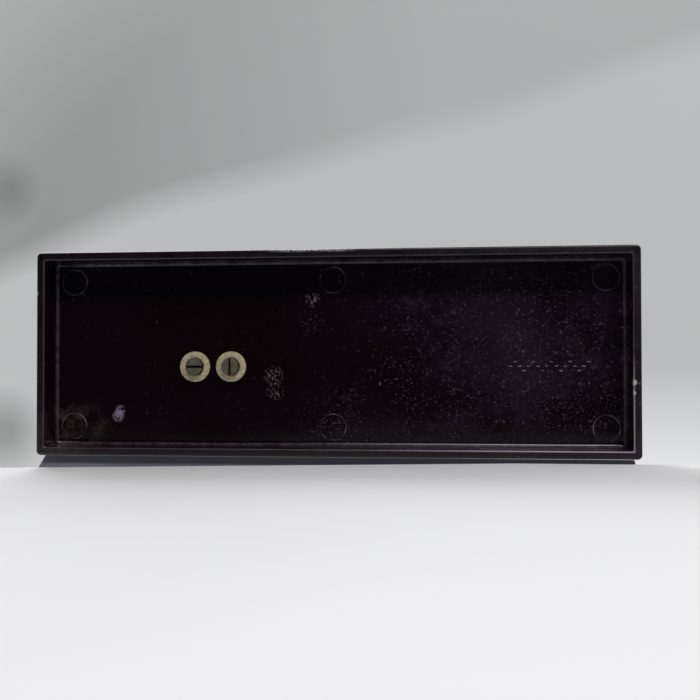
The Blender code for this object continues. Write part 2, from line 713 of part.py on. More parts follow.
def build_going_train():
    """Centre, third, fourth and escape wheels, the pallets and the balance."""
    direction = bearing(TIME_BARREL, CENTRE)
    pinion_phase = mesh_phase(GREAT_TEETH, 0.0, LEAVES, direction)
    bore = CENTRE_ARBOR_R + GAP
    centre_wheel = gear_outline(CENTRE_TEETH, CENTRE_MODULE)
    hole = circle(bore + 0.2, FINE)
    body = plate("centre_wheel", centre_wheel, CENTRE_WHEEL_Y, CENTRE, BRASS,
                 [hole] + crossings(11.0, 3.0))
    leaves = plate("leaves", pinion_outline(LEAVES, TIME_GREAT_MODULE, pinion_phase), CENTRE_PINION_Y,
                   CENTRE, None, [hole])
    fuse(body, leaves, tube("pipe", bore, bore + 0.4, (-7.4, -1.4), CENTRE, None, FINE))

    third = mesh_phase(CENTRE_TEETH, 0.0, LEAVES, bearing(CENTRE, THIRD))
    wheel_with_pinion("third_wheel", THIRD, gear_outline(THIRD_TEETH, THIRD_MODULE), THIRD_WHEEL_Y,
                      pinion_outline(LEAVES, CENTRE_MODULE, third), THIRD_PINION_Y, crossings(9.4, 2.6))
    fourth = mesh_phase(THIRD_TEETH, 0.0, LEAVES, bearing(THIRD, FOURTH))
    wheel_with_pinion("fourth_wheel", FOURTH, gear_outline(FOURTH_TEETH, FOURTH_MODULE), FOURTH_WHEEL_Y,
                      pinion_outline(LEAVES, THIRD_MODULE, fourth), FOURTH_PINION_Y, crossings(9.0, 2.6))
    escape = mesh_phase(FOURTH_TEETH, 0.0, LEAVES, bearing(FOURTH, ESCAPE))
    spokes = crossings(3.7, 1.6, 3, 1.0)
    teeth = escape_outline(ESCAPE_R, bearing(ESCAPE, PALLET))
    wheel_with_pinion("escape_wheel", ESCAPE, teeth, ESCAPE_WHEEL_Y,
                      pinion_outline(LEAVES, FOURTH_MODULE, escape), ESCAPE_PINION_Y, spokes)
    build_pallets()
    build_balance()


def escape_outline(radius, towards):
    """Escape wheel with narrow pointed teeth; the pallets stand between teeth either side of a line."""
    phase = towards + math.radians(30.0 - 6.0)
    pitch = 2 * math.pi / ESCAPE_TEETH
    points = []
    for tooth in range(ESCAPE_TEETH):
        for reach, share in ((radius - 1.4, -0.2), (radius, -0.03), (radius, 0.03), (radius - 1.4, 0.2)):
            angle = phase + (tooth + share) * pitch
            points.append((reach * math.cos(angle), reach * math.sin(angle)))
    return points


def pallet_pins(wheel, pivot, radius):
    """Stations, from the pivot, of two pins 60 degrees apart round an escape wheel."""
    towards = bearing(wheel, pivot)
    pins = []
    for side in (-1, 1):
        angle = towards + side * math.radians(30.0)
        x = wheel[0] + radius * math.cos(angle) - pivot[0]
        z = wheel[1] + radius * math.sin(angle) - pivot[1]
        pins.append((x, z))
    return pins


def build_pallets():
    """Pin pallets with a fork that reaches towards the balance staff."""
    pins = pallet_pins(ESCAPE, PALLET, ESCAPE_R + 0.5)
    span = (BALANCE[0] - PALLET[0], BALANCE[1] - PALLET[1])
    reach = math.hypot(*span)
    fork_end = (span[0] * (reach - 2.6) / reach, span[1] * (reach - 2.6) / reach)
    body = plate("pallet_lever", circle(1.5, FINE), PALLET_Y, PALLET, STEEL)
    thin = (PALLET_Y[0] + 0.1, PALLET_Y[1] - 0.1)
    extras = [plate("arm", lever_outline((0.0, 0.0), p, 1.6, 1.0), thin, PALLET) for p in pins]
    extras.append(plate("fork", lever_outline((0.0, 0.0), fork_end, 1.4, 0.9), thin, PALLET))
    extras.append(arbor(PALLET))
    for pin in pins:
        extras.append(rod("pin", 0.25, (0.7, 2.5), (PALLET[0] + pin[0], PALLET[1] + pin[1]), None, 6))
    return fuse(body, *extras)


def build_balance():
    """Balance wheel with its staff and roller, the hairspring and the regulator."""
    windows = crossings(BALANCE_R - 1.0, 1.6, 2, 1.4)
    body = plate("balance_wheel", circle(BALANCE_R, MEDIUM), BALANCE_Y, BALANCE, BRASS, windows)
    staff = arbor(BALANCE)
    roller = rod("roller", 1.7, (1.9, 3.1), BALANCE, None, 12)
    fuse(body, staff, roller)
    plate("hairspring", spiral_outline(1.3, 6.0, 3.5, 0.25), HAIRSPRING_Y, BALANCE, BLUED_STEEL)
    tip = (0.0, REGULATOR_RADIUS)
    lever = plate("regulator_lever", circle(2.8, 16), REGULATOR_Y, BALANCE, STEEL)
    arm = plate("arm", lever_outline((0.0, 0.0), tip, 2.4, 1.8), REGULATOR_Y, BALANCE)
    pin = rod("tip", 0.8, (14.5, 22.2), (BALANCE[0], BALANCE[1] + REGULATOR_RADIUS))
    lever = fuse(lever, arm, pin)
    carve(lever, rod("bore", 1.3, (10.0, 20.0), BALANCE))


# ---------------------------------------------------------------- motion work and setting

def build_motion_work():
    """Cannon pinion on the centre arbor, minute wheel, hour wheel and alarm wheel."""
    cannon = plate("cannon", pinion_outline(CANNON_TEETH, MOTION_MODULE), (-10.6, -9.5))
    shaft = [(0.0, -21.0), (1.0, -21.0), (1.6, -20.5), (1.6, -9.8), (CENTRE_ARBOR_R, -9.8),
             (CENTRE_ARBOR_R, 24.0), (0.0, 24.0)]
    fuse(turned("centre_arbor", shaft, CENTRE, STEEL, 12), cannon)

    direction = bearing(CENTRE, MINUTE_STUD)
    minute_phase = mesh_phase(CANNON_TEETH, 0.0, MINUTE_TEETH, direction)
    hole = [circle(1.0 + GAP, FINE)]
    wheel = plate("minute_wheel", gear_outline(MINUTE_TEETH, MOTION_MODULE, minute_phase), MINUTE_WHEEL_Y,
                  MINUTE_STUD, BRASS, hole)
    leaves = plate("leaves", pinion_outline(MINUTE_PINION_TEETH, MOTION_MODULE), MINUTE_PINION_Y,
                   MINUTE_STUD, None, hole)
    fuse(wheel, leaves)

    hour_phase = mesh_phase(MINUTE_PINION_TEETH, 0.0, HOUR_TEETH, direction + math.pi)
    wheel = plate("hour_wheel", gear_outline(HOUR_TEETH, MOTION_MODULE, hour_phase), HOUR_WHEEL_Y, CENTRE,
                  BRASS, [circle(2.3)])
    fuse(wheel, tube("pipe", 2.0, 2.6, (-18.9, -11.2), CENTRE))

    wheel = plate("alarm_wheel", gear_outline(ALARM_WHEEL_TEETH, ALARM_SET_MODULE), ALARM_WHEEL_Y, CENTRE,
                  BRASS, [circle(3.2)])
    fuse(wheel, tube("pipe", 2.9, 3.5, (-17.5, -13.2), CENTRE))

    setting_phase = mesh_phase(ALARM_WHEEL_TEETH, 0.0, ALARM_PINION_TEETH, bearing(CENTRE, ALARM_SETTING))
    shaft = rod("alarm_set_arbor", 1.2, (-14.6, 24.0), ALARM_SETTING, STEEL, FINE)
    pinion = pinion_outline(ALARM_PINION_TEETH, ALARM_SET_MODULE, setting_phase)
    fuse(shaft, plate("leaves", pinion, (-14.3, -13.3), ALARM_SETTING))


def knurled_knob(name, station, radius, depths, bore):
    """Setting knob with a fluted rim, pushed on an arbor's end."""
    outline = gear_outline(16, radius / 8.6, 0.0, 0.6, 0.4, 0.8, 0.4)
    knob = plate(name, outline, depths, station, BRASS)
    return carve(knob, rod("bore", bore, (depths[0] - 1.0, 24.0 + GAP), station, None, FINE))


def wing_key(name, station, turn):
    """Butterfly key on a winding arbor; its wings lie along the turn angle."""
    profile = [(0.0, 21.0), (3.2, 21.0), (3.4, 30.6), (2.4, 31.4), (0.0, 31.4)]
    hub = turned(name, profile, station, BRASS)
    wings = []
    for side in (-1, 1):
        wing = plate("wing", circle(WING_R, 16), (-0.8, 0.8), CENTRE, None, [circle(2.2, FINE)])
        out = Vector((math.cos(turn), 0.0, math.sin(turn))) * side * WING_REACH
        centre = Vector(at(station, 28.2)) + out
        wing.matrix_world = (Matrix.Translation(centre * MM) @ Matrix.Rotation(-turn, 4, "Y"))
        wings.append(wing)
    key = fuse(hub, *wings)
    return carve(key, rod("bore", WINDING_R + GAP, (20.0, 30.0 + GAP), station, None, 10))


def build_setting():
    """Keys and knobs behind the back cover."""
    wing_key("time_key", TIME_BARREL, math.radians(35.0))
    wing_key("alarm_key", ALARM_BARREL, math.radians(-25.0))
    knurled_knob("hand_set_knob", CENTRE, 4.5, (20.8, 27.2), CENTRE_ARBOR_R + GAP)
    knurled_knob("alarm_set_knob", ALARM_SETTING, 3.8, (20.8, 26.4), 1.2 + GAP)


# ---------------------------------------------------------------- alarm

def build_alarm():
    """Alarm escape wheel, hammer, and the lever that the stop button presses."""
    direction = bearing(ALARM_BARREL, ALARM_ESCAPE)
    leaf_phase = mesh_phase(GREAT_TEETH, 0.0, LEAVES, direction)
    outline = escape_outline(ALARM_ESCAPE_R, bearing(ALARM_ESCAPE, HAMMER))
    wheel_with_pinion("alarm_escape_wheel", ALARM_ESCAPE, outline, ALARM_ESCAPE_Y,
                      pinion_outline(LEAVES, ALARM_GREAT_MODULE, leaf_phase), ALARM_PINION_Y, [])
    build_hammer()
    build_stop()


def build_hammer():
    """Hammer with its arbor, two pallet pins and a round head inside the bell's rim."""
    head = (HAMMER_HEAD[0] - HAMMER[0], HAMMER_HEAD[1] - HAMMER[1])
    thin = (HAMMER_Y[0] + 0.1, HAMMER_Y[1] - 0.1)
    body = plate("hammer", circle(1.5, FINE), HAMMER_Y, HAMMER, STEEL)
    extras = [plate("stem", lever_outline((0.0, 0.0), head, 1.6, 1.2), thin, HAMMER)]
    pins = pallet_pins(ALARM_ESCAPE, HAMMER, ALARM_ESCAPE_R + 0.5)
    for pin in pins:
        extras.append(plate("arm", lever_outline((0.0, 0.0), pin, 1.4, 0.9), HAMMER_Y, HAMMER))
        extras.append(rod("pin", 0.25, (9.2, 11.3), (HAMMER[0] + pin[0], HAMMER[1] + pin[1]), None, 6))
    extras.append(arbor(HAMMER))
    extras.append(turned("head", [(0.0, 10.0), (1.6, 10.0), (2.2, 10.6), (2.2, 12.0), (1.6, 12.6),
                                  (0.0, 12.6)], HAMMER_HEAD, None, 12))
    return fuse(body, *extras)


def build_stop():
    """Stop button with its bush and spring, and the lever on a pillar that it works."""
    arms = []
    for end, width in ((STOP_LEVER_TIP, 2.0), (STOP_PIN, 1.6)):
        reach = (end[0] - STOP_LEVER[0], end[1] - STOP_LEVER[1])
        arms.append(plate("arm", lever_outline((0.0, 0.0), reach, 3.0, width), STOP_LEVER_Y, STOP_LEVER))
    body = plate("stop_lever", circle(3.4, 16), STOP_LEVER_Y, STOP_LEVER, STEEL)
    arms.append(rod("pin", 0.6, (4.7, 12.4), STOP_PIN, None, FINE))
    carve(fuse(body, *arms), rod("bore", PILLAR_R + GAP, (0.0, 10.0), STOP_LEVER, None, 10))

    def disc(name, radius, low, high, material=None, steps=SMALL, bore=0.0):
        return upright(name, radius, (DRUM_Z + low, DRUM_Z + high), DRUM_X, BUTTON_Y, material, steps, bore)

    stem = disc("stem", STEM_R, 37.4, 51.5)
    collar = disc("collar", 2.3, 40.6, 41.6)
    cap = disc("stop_button", BUTTON_CAP_R, 50.2, 53.6, BRASS, 24)
    well = disc("well", BUTTON_WELL_R, 49.0, 52.0, None, 16)
    cap = carve(cap, well)
    crown = disc("crown", STEM_R, 51.0, 53.0)
    fuse(cap, stem, collar, crown)
    bush = disc("stop_button_bush", BUSH_R, 42.2, 46.0, BRASS)
    flange = disc("flange", 4.2, 45.4, 46.3, None, 18)
    carve(fuse(bush, flange), disc("bore", STEM_R + GAP, 30.0, 60.0))

    build_button_spring()


def build_button_spring():
    """Coil spring between the bush and the button's cap."""
    per_turn = 10
    low, high = SPRING_Z
    curve = bpy.data.curves.new("stop_button_spring", "CURVE")
    curve.dimensions = "3D"
    curve.bevel_depth = SPRING_WIRE_R * MM
    curve.bevel_resolution = 0
    curve.use_fill_caps = True
    spline = curve.splines.new("POLY")
    count = SPRING_TURNS * per_turn
    spline.points.add(count)
    for i, point in enumerate(spline.points):
        angle = 2 * math.pi * i / per_turn
        rise = low + (high - low) * i / count
        point.co = (SPRING_R * math.cos(angle) * MM, SPRING_R * math.sin(angle) * MM, rise * MM, 1.0)
    freeze(place(bpy.data.objects.new("stop_button_spring", curve), STEEL, (DRUM_X, BUTTON_Y, DRUM_Z)))


def main():
    """Build every piece of the clock."""
    build_plinth()
    build_base_fasteners()
    build_foot()
    build_drum()
    build_bezel_and_glass()
    build_dial()
    build_hands()
    build_front_plate()
    build_back_plate()
    build_plate_nuts()
    build_bell()
    build_back_cover()
    winding_side("time", TIME_BARREL, TIME_GREAT_MODULE, -60.0)
    winding_side("alarm", ALARM_BARREL, ALARM_GREAT_MODULE, 200.0)
    build_going_train()
    build_motion_work()
    build_setting()
    build_alarm()


main()
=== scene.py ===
"""Looks of a wind-up alarm clock: a round drum case that stands on a long moulded plinth.

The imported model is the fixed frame. Sizes in the classes are millimetres and degrees, and the Bench turns
them into meshes in metres, placed where the frame's own pieces are.
"""

import json
import logging
import math
from dataclasses import dataclass, field
from enum import Enum
from functools import reduce
from typing import Callable, Iterable, Sequence

import bmesh
import bpy
from mathutils import Matrix, Vector

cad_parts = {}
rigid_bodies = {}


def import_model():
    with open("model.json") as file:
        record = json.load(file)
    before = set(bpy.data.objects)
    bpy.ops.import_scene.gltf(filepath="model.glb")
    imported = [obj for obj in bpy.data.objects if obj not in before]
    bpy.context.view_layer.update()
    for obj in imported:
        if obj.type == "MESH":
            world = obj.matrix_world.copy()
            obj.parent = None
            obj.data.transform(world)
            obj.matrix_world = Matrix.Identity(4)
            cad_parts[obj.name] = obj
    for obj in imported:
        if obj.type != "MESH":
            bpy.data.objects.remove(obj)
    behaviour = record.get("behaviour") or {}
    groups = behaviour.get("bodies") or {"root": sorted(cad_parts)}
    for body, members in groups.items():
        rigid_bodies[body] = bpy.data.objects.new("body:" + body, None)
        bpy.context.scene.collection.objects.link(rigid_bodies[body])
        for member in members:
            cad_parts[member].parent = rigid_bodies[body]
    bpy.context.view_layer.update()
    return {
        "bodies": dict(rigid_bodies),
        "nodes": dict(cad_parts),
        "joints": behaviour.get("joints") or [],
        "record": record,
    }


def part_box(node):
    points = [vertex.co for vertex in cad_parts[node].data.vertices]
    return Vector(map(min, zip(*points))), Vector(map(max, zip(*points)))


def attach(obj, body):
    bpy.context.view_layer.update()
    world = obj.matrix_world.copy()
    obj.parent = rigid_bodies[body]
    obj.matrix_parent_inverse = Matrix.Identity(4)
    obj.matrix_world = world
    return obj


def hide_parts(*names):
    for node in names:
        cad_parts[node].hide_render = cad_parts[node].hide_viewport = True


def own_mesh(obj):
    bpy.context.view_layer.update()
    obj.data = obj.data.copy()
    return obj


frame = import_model()

MM = 0.001
SHARP_ANGLE = 32.0
LOG = logging.getLogger("alarm_clock")

Point = tuple[float, float]
Outline = list[Point]
Colour = tuple[float, float, float]
Socket = bpy.types.NodeSocket


class Slot(str, Enum):
    """Material slots of the record."""

    PLASTIC = "black_plastic"
    LACQUER = "black_lacquer"
    AGED_STEEL = "aged_steel"
    BRASS = "brass"
    MOVEMENT = "movement_brass"
    STEEL = "steel"
    BLUED = "blued_steel"
    CREAM = "cream_paint"
    HAND_BLACK = "hand_black"
    HAND_RED = "hand_red"
    GLASS = "clear_glass"


class Body(str, Enum):
    """Bodies that the pieces made here ride on."""

    CASE = "case"
    MINUTE = "minute"
    HOUR = "hour"
    ALARM = "alarm_setting"
    SETTER = "alarm_setter"
    TIME_WINDING = "time_winding"
    ALARM_WINDING = "alarm_winding"
    BUTTON = "stop_button"


class Axis(Enum):
    """Axis that a turned or flat piece is made about: across the clock or upright."""

    DEPTH = "depth"
    HEIGHT = "height"


# ---------------------------------------------------------------- finishes


class Tree:
    """Node tree of one finish, with short names for the nodes that the finishes share."""

    def __init__(self, name: str) -> None:
        """Start a material whose coordinates are the object's own, in metres.

        Args:
            name: The material's name.
        """
        self.material = bpy.data.materials.new(name)
        self.material.use_nodes = True
        self.nodes = self.material.node_tree.nodes
        self.links = self.material.node_tree.links
        self.shader = self.nodes["Principled BSDF"]
        self.place = self.nodes.new("ShaderNodeTexCoord").outputs["Object"]

    def wire(self, source: Socket | float, target: Socket) -> None:
        """Link a socket to another, or set a plain number on it.

        Args:
            source: A socket or a number.
            target: The socket that takes it.
        """
        if isinstance(source, (int, float)):
            target.default_value = source
        else:
            self.links.new(source, target)

    def paint(self, source: Socket | Colour, target: Socket) -> None:
        """Link a socket to another, or set a plain colour on it.

        Args:
            source: A socket or a colour.
            target: The socket that takes it.
        """
        if isinstance(source, tuple):
            target.default_value = (*source, 1.0)
        else:
            self.wire(source, target)

    def set(self, **values: float | Socket | Colour) -> None:
        """Fill the shader's sockets.

        Args:
            values: Socket names with _ for a space, and a number, a colour or a socket for each.
        """
        for name, value in values.items():
            self.paint(value, self.shader.inputs[name.replace("_", " ").title().replace("Ior", "IOR")])

    def stretched(self, scale: Sequence[float], turn: float = 0.0) -> Socket:
        """Coordinates scaled along each axis.

        Args:
            scale: The scale along X, Y and Z.
            turn: Degrees that the axes are first turned about the upright one.

        Returns:
            The coordinates' socket.
        """
        mapping = self.nodes.new("ShaderNodeMapping")
        mapping.vector_type = "TEXTURE"
        mapping.inputs["Scale"].default_value = [1.0 / s for s in scale]
        mapping.inputs["Rotation"].default_value = (0.0, 0.0, math.radians(turn))
        self.links.new(self.place, mapping.inputs["Vector"])
        return mapping.outputs["Vector"]

    def noise(self, scale: float, detail: float = 3.0, place: Socket | None = None,
              rough: float = 0.5) -> Socket:
        """Soft noise from 0 to 1.

        Args:
            scale: Features per metre.
            detail: Octaves.
            place: Coordinates, or None for the object's own.
            rough: How strong the finer octaves are.

        Returns:
            The noise value's socket.
        """
        node = self.nodes.new("ShaderNodeTexNoise")
        for name, number in (("Scale", scale), ("Detail", detail), ("Roughness", rough)):
            node.inputs[name].default_value = number
        self.links.new(place or self.place, node.inputs["Vector"])
        return node.outputs["Fac"]

    def specks(self, scale: float, size: float, share: float) -> Socket:
        """Scattered dots.

        Args:
            scale: Cells per metre, each with at most one dot.
            size: Radius of a dot as a share of a cell.
            share: Part of the cells that hold a dot.

        Returns:
            A socket that is 1 in a dot and 0 outside.
        """
        cell = self.nodes.new("ShaderNodeTexVoronoi")
        cell.inputs["Scale"].default_value = scale
        self.links.new(self.place, cell.inputs["Vector"])
        dot = self.remap(cell.outputs["Distance"], size, size * 0.5)
        split = self.nodes.new("ShaderNodeSeparateColor")
        self.links.new(cell.outputs["Color"], split.inputs["Color"])
        return self.times(dot, self.remap(split.outputs["Red"], 1.0 - share, 1.0 - share + 0.01))

    def flecks(self, scale: float, level: float) -> Socket:
        """Ragged flecks where a fine noise passes a level."""
        return self.remap(self.noise(scale, rough=0.65), level, level + 0.05)

    def remap(self, value: Socket, low: float, high: float, to_low: float = 0.0,
              to_high: float = 1.0) -> Socket:
        """Clamped linear change of range.

        Args:
            value: The value to change.
            low: The value that gives to_low.
            high: The value that gives to_high.
            to_low: Result at low.
            to_high: Result at high.

        Returns:
            The result's socket.
        """
        node = self.nodes.new("ShaderNodeMapRange")
        self.links.new(value, node.inputs["Value"])
        for name, number in (("From Min", low), ("From Max", high), ("To Min", to_low), ("To Max", to_high)):
            node.inputs[name].default_value = number
        return node.outputs["Result"]

    def ramp(self, length: Socket, low: float, high: float, to_low: float = 0.0,
             to_high: float = 1.0) -> Socket:
        """The same change of range for a length in metres, between two sizes in millimetres."""
        return self.remap(length, low * MM, high * MM, to_low, to_high)

    def plain(self, operation: str, first: Socket | float, second: Socket | float = 0.0,
              clamped: bool = False) -> Socket:
        """One arithmetic step.

        Args:
            operation: Its name.
            first: The first value.
            second: The second value, where it has one.
            clamped: Whether the result is held between 0 and 1.

        Returns:
            The result's socket.
        """
        node = self.nodes.new("ShaderNodeMath")
        node.operation = operation
        node.use_clamp = clamped
        self.wire(first, node.inputs[0])
        self.wire(second, node.inputs[1])
        return node.outputs["Value"]

    def chain(self, operation: str, values: Sequence[Socket | float]) -> Socket | float:
        """Several values through one operation in turn, each result held between 0 and 1."""
        return reduce(lambda first, second: self.plain(operation, first, second, clamped=True), values)

    def times(self, *values: Socket | float) -> Socket | float:
        """Product of masks."""
        return self.chain("MULTIPLY", values)

    def plus(self, *values: Socket | float) -> Socket | float:
        """Sum of masks."""
        return self.chain("ADD", values)

    def less(self, *values: Socket | float) -> Socket | float:
        """The first mask without the others."""
        return self.chain("SUBTRACT", values)

    def most(self, *values: Socket | float) -> Socket | float:
        """The strongest of some masks."""
        return self.chain("MAXIMUM", values)

    def coordinate(self, axis: str) -> Socket:
        """A coordinate, in metres.

        Args:
            axis: X, Y or Z.

        Returns:
            The coordinate's socket.
        """
        split = self.nodes.new("ShaderNodeSeparateXYZ")
        self.links.new(self.place, split.inputs["Vector"])
        return split.outputs[axis]

    def aside(self, value: Socket, place: float = 0.0) -> Socket:
        """A length's plain distance from a place in millimetres, which may lie on either side."""
        return self.plain("ABSOLUTE", self.past(value, place) if place else value)

    def past(self, value: Socket, place: float) -> Socket:
        """How far a length goes past a place in millimetres."""
        return self.plain("SUBTRACT", value, place * MM)

    def away(self, across: Socket, along: Socket) -> Socket:
        """The length of a vector with two parts."""
        return self.plain("SQRT", self.plain("ADD", *(self.plain("MULTIPLY", v, v) for v in (across, along))))

    def along(self, axis: str, low: float, high: float) -> Socket:
        """0 to 1 as a coordinate goes from one place to another, in millimetres."""
        return self.ramp(self.coordinate(axis), low, high)

    def near(self, centre: Sequence[float], radius: float) -> Socket:
        """A mask round a point.

        Args:
            centre: The point, in millimetres.
            radius: Where the mask ends, in millimetres.

        Returns:
            A socket that is 1 at the point and 0 from the radius on.
        """
        node = self.nodes.new("ShaderNodeVectorMath")
        node.operation = "DISTANCE"
        self.links.new(self.place, node.inputs[0])
        node.inputs[1].default_value = [c * MM for c in centre]
        return self.ramp(node.outputs["Value"], 0.0, radius, 1.0, 0.0)

    def mix(self, factor: Socket, first: Socket | Colour, second: Socket | Colour) -> Socket:
        """Blend of two colours.

        Args:
            factor: Share of the second colour.
            first: The first colour.
            second: The second colour.

        Returns:
            The colour's socket.
        """
        node = self.nodes.new("ShaderNodeMix")
        node.data_type = "RGBA"
        self.links.new(factor, node.inputs["Factor"])
        self.paint(first, node.inputs[6])
        self.paint(second, node.inputs[7])
        return node.outputs[2]

    def bump(self, height: Socket, depth: float, strength: float = 1.0) -> None:
        """Raise the surface.

        Args:
            height: Height from 0 to 1.
            depth: What a height of 1 stands for, in millimetres.
            strength: How strongly it shows.
        """
        node = self.nodes.new("ShaderNodeBump")
        node.inputs["Strength"].default_value = strength
        node.inputs["Distance"].default_value = depth * MM
        self.links.new(height, node.inputs["Height"])
        self.links.new(node.outputs["Normal"], self.shader.inputs["Normal"])


class Sky(Tree):
    """Node tree of the room around the stage, whose coordinates are directions."""

    def __init__(self, tree: bpy.types.NodeTree) -> None:
        """Start from a world's own tree.

        Args:
            tree: The world's node tree.
        """
        self.nodes = tree.nodes
        self.links = tree.links
        self.place = self.nodes.new("ShaderNodeTexCoord").outputs["Generated"]


@dataclass(frozen=True)
class Grime:
    """A local patch of dust, dirt or a chip."""

    centre: tuple[float, float, float]
    radius: float
    scale: float
    level: float
    strength: float


@dataclass(frozen=True)
class MouldedPlastic:
    """Glossy black moulding, aged: a purple bloom that is partly a painted sheen, a painted dark reflection,
    dust with painted highlights and glints, fine scratches and scuffed edges.
    """

    name: str = "moulded_plastic"
    black: Colour = (0.0062, 0.0017, 0.0032)
    # Purple of the bloom, also standing for a painted sheen of light from +X.
    bloom: Colour = (0.0215, 0.0036, 0.0270)
    navy: Colour = (0.0024, 0.0024, 0.0072)
    rim: Colour = (0.0135, 0.0055, 0.0095)
    # Dust colour; the marks also use it for their painted highlights and glints.
    dust: Colour = (0.36, 0.26, 0.38)
    dirt: Colour = (0.095, 0.068, 0.052)
    chip: Colour = (0.42, 0.41, 0.43)
    gloss: tuple[float, float] = (0.17, 0.42)
    opening: tuple[float, float] = (97.25, 31.55)
    eject: tuple[float, float, float] = (90.75, 25.0, 4.4)
    patches: tuple[Grime, ...] = (
        Grime((-20.3, 7.5, 10.4), 3.8, 1500.0, 0.53, 0.9),
        Grime((-19.8, 13.0, 10.4), 3.6, 1500.0, 0.54, 0.8),
        Grime((-7.0, -18.5, 10.4), 3.0, 1100.0, 0.50, 1.0),
        Grime((-8.0, -10.0, 10.4), 6.0, 1700.0, 0.62, 0.7),
        Grime((-75.0, 21.5, 10.4), 2.4, 700.0, 0.40, 1.7),
        Grime((-74.3, 19.5, 10.4), 2.0, 700.0, 0.42, 1.7),
        Grime((2.0, 25.0, 10.4), 18.0, 1500.0, 0.61, 0.5),
        Grime((32.0, -14.0, 10.4), 22.0, 1300.0, 0.62, 0.5),
        Grime((20.0, 8.0, 10.4), 14.0, 1100.0, 0.64, 0.7),
        Grime((48.0, 22.0, 10.4), 34.0, 1300.0, 0.62, 0.5),
        Grime((70.0, -8.0, 10.4), 38.0, 1200.0, 0.62, 0.6),
        Grime((84.0, 16.0, 10.4), 26.0, 1400.0, 0.62, 0.5),
    )
    stained_corner: tuple[float, float, float] = (-91.0, 27.5, 10.0)
    scuffed_edge: tuple[float, float, float] = (-6.0, -34.3, 0.0)
    scratched: tuple[Point, ...] = ((20.0, 900.0), (-35.0, 1200.0), (4.0, 1000.0))
    spots: tuple[tuple[tuple[float, float, float], float, Colour], ...] = (
        ((-99.8, -20.5, 0.5), 1.1, (0.24, 0.42, 0.12)),
        ((97.5, 9.6, 0.5), 1.4, (0.70, 0.58, 0.44)),
        ((97.5, 13.0, 0.5), 1.1, (0.60, 0.50, 0.42)),
    )

    @staticmethod
    def scratches(tree: Tree, turn: float, fineness: float) -> Socket:
        """Long thin marks that lie along one direction in the plane of the moulding.

        Args:
            tree: Where the nodes go.
            turn: Direction of the marks in degrees.
            fineness: Marks per metre across their direction.

        Returns:
            A socket that is 1 on a mark.
        """
        place = tree.stretched((fineness * 0.09, fineness, fineness * 0.3), turn)
        return tree.remap(tree.noise(1.0, 2.0, place), 0.67, 0.73)

    def marks(self, tree: Tree, under: Socket) -> Socket:
        """Dust-coloured marks: dust at the foot of the walls, dust and a painted highlight along the lip that
        is strongest towards +X and +Y, dust and painted glints on the ejector rings, and painted glints on
        the raised dashes.

        Args:
            tree: Where the nodes go.
            under: A mask that is 1 in the recess.

        Returns:
            A socket with the strength of the dust and of the painted highlights and glints.
        """
        across, along = (tree.aside(tree.coordinate(axis)) for axis in "XY")
        wall = tree.plain("MAXIMUM", *(tree.past(v, edge) for v, edge in zip((across, along), self.opening)))
        patchy = tree.remap(tree.noise(330.0, 4.0, rough=0.7), 0.36, 0.60, 0.15)
        # Painted highlight along the lip's edge, with some dust: it grows towards +X and +Y.
        highlight_reach = tree.times(tree.along("X", 10.0, 60.0), tree.along("Y", 0.0, 10.0))
        lip = tree.times(tree.ramp(wall, -0.10, 0.05), tree.ramp(wall, 0.55, 0.30), tree.along("Z", 0.6, 0.3),
                         tree.remap(highlight_reach, 0.0, 1.0, 0.13))
        foot = tree.times(tree.ramp(wall, -1.20, -0.85), tree.along("Z", 8.6, 9.1),
                          tree.ramp(wall, 0.7, 0.5), tree.times(patchy, under))
        # Ejector rings: dust and painted glints, brighter on the rings at +Y.
        column, row, radius = self.eject
        sideways = tree.plain("MINIMUM", tree.aside(across, column), across)
        ring = tree.aside(tree.away(sideways, tree.past(along, row)), radius)
        broken = tree.remap(tree.noise(170.0), 0.46, 0.55, 0.06)
        ring = tree.times(tree.ramp(ring, 0.14, 0.26, 1.0, 0.0), under, tree.times(patchy, broken))
        lower = tree.ramp(tree.coordinate("Y"), -5.0, 5.0, 0.30, 0.62)
        # Raised dashes: painted glints on their faces.
        raised = tree.times(tree.along("Z", 10.34, 10.24), tree.along("Z", 9.4, 9.6),
                            tree.ramp(wall, -2.2, -2.6), tree.ramp(along, 8.0, 9.0, 0.75, 0.12))
        return tree.most(lip, tree.times(foot, 0.16), tree.times(ring, lower), tree.times(raised, patchy))

    def build(self) -> bpy.types.Material:
        """Make the material.

        Returns:
            The material.
        """
        tree = Tree(self.name)
        under = tree.along("Z", 11.5, 10.0)
        right = tree.along("X", -25.0, 88.0)
        # Purple haze, stronger towards +X: partly the plastic's bloom, partly a painted sheen of the light
        # from +X.
        cloudy = tree.remap(tree.noise(26.0, 5.0, rough=0.6), 0.42, 0.66)
        fine = tree.remap(tree.noise(420.0, 6.0, rough=0.7), 0.35, 0.85)
        haze_and_sheen = tree.times(cloudy, tree.remap(right, 0.0, 1.0, 0.16))
        haze_and_sheen = tree.plus(haze_and_sheen, tree.times(fine, tree.times(right, 0.55)))
        haze_and_sheen = tree.times(haze_and_sheen, tree.remap(under, 0.0, 1.0, 0.30))
        colour = tree.mix(tree.times(haze_and_sheen, 0.85), self.black, self.bloom)

        # Painted dark reflection: a navy band across the ceiling, from y = -18.5 mm out towards -Y.
        painted_reflection = tree.times(tree.along("Y", -18.5, -21.0), under, 0.9)
        colour = tree.mix(painted_reflection, colour, self.navy)
        worn = tree.remap(tree.noise(210.0, 6.0, rough=0.65), 0.30, 0.75, 0.25)
        rim = tree.times(tree.along("Z", 0.5, 0.1), worn)
        colour = tree.mix(rim, colour, self.rim)

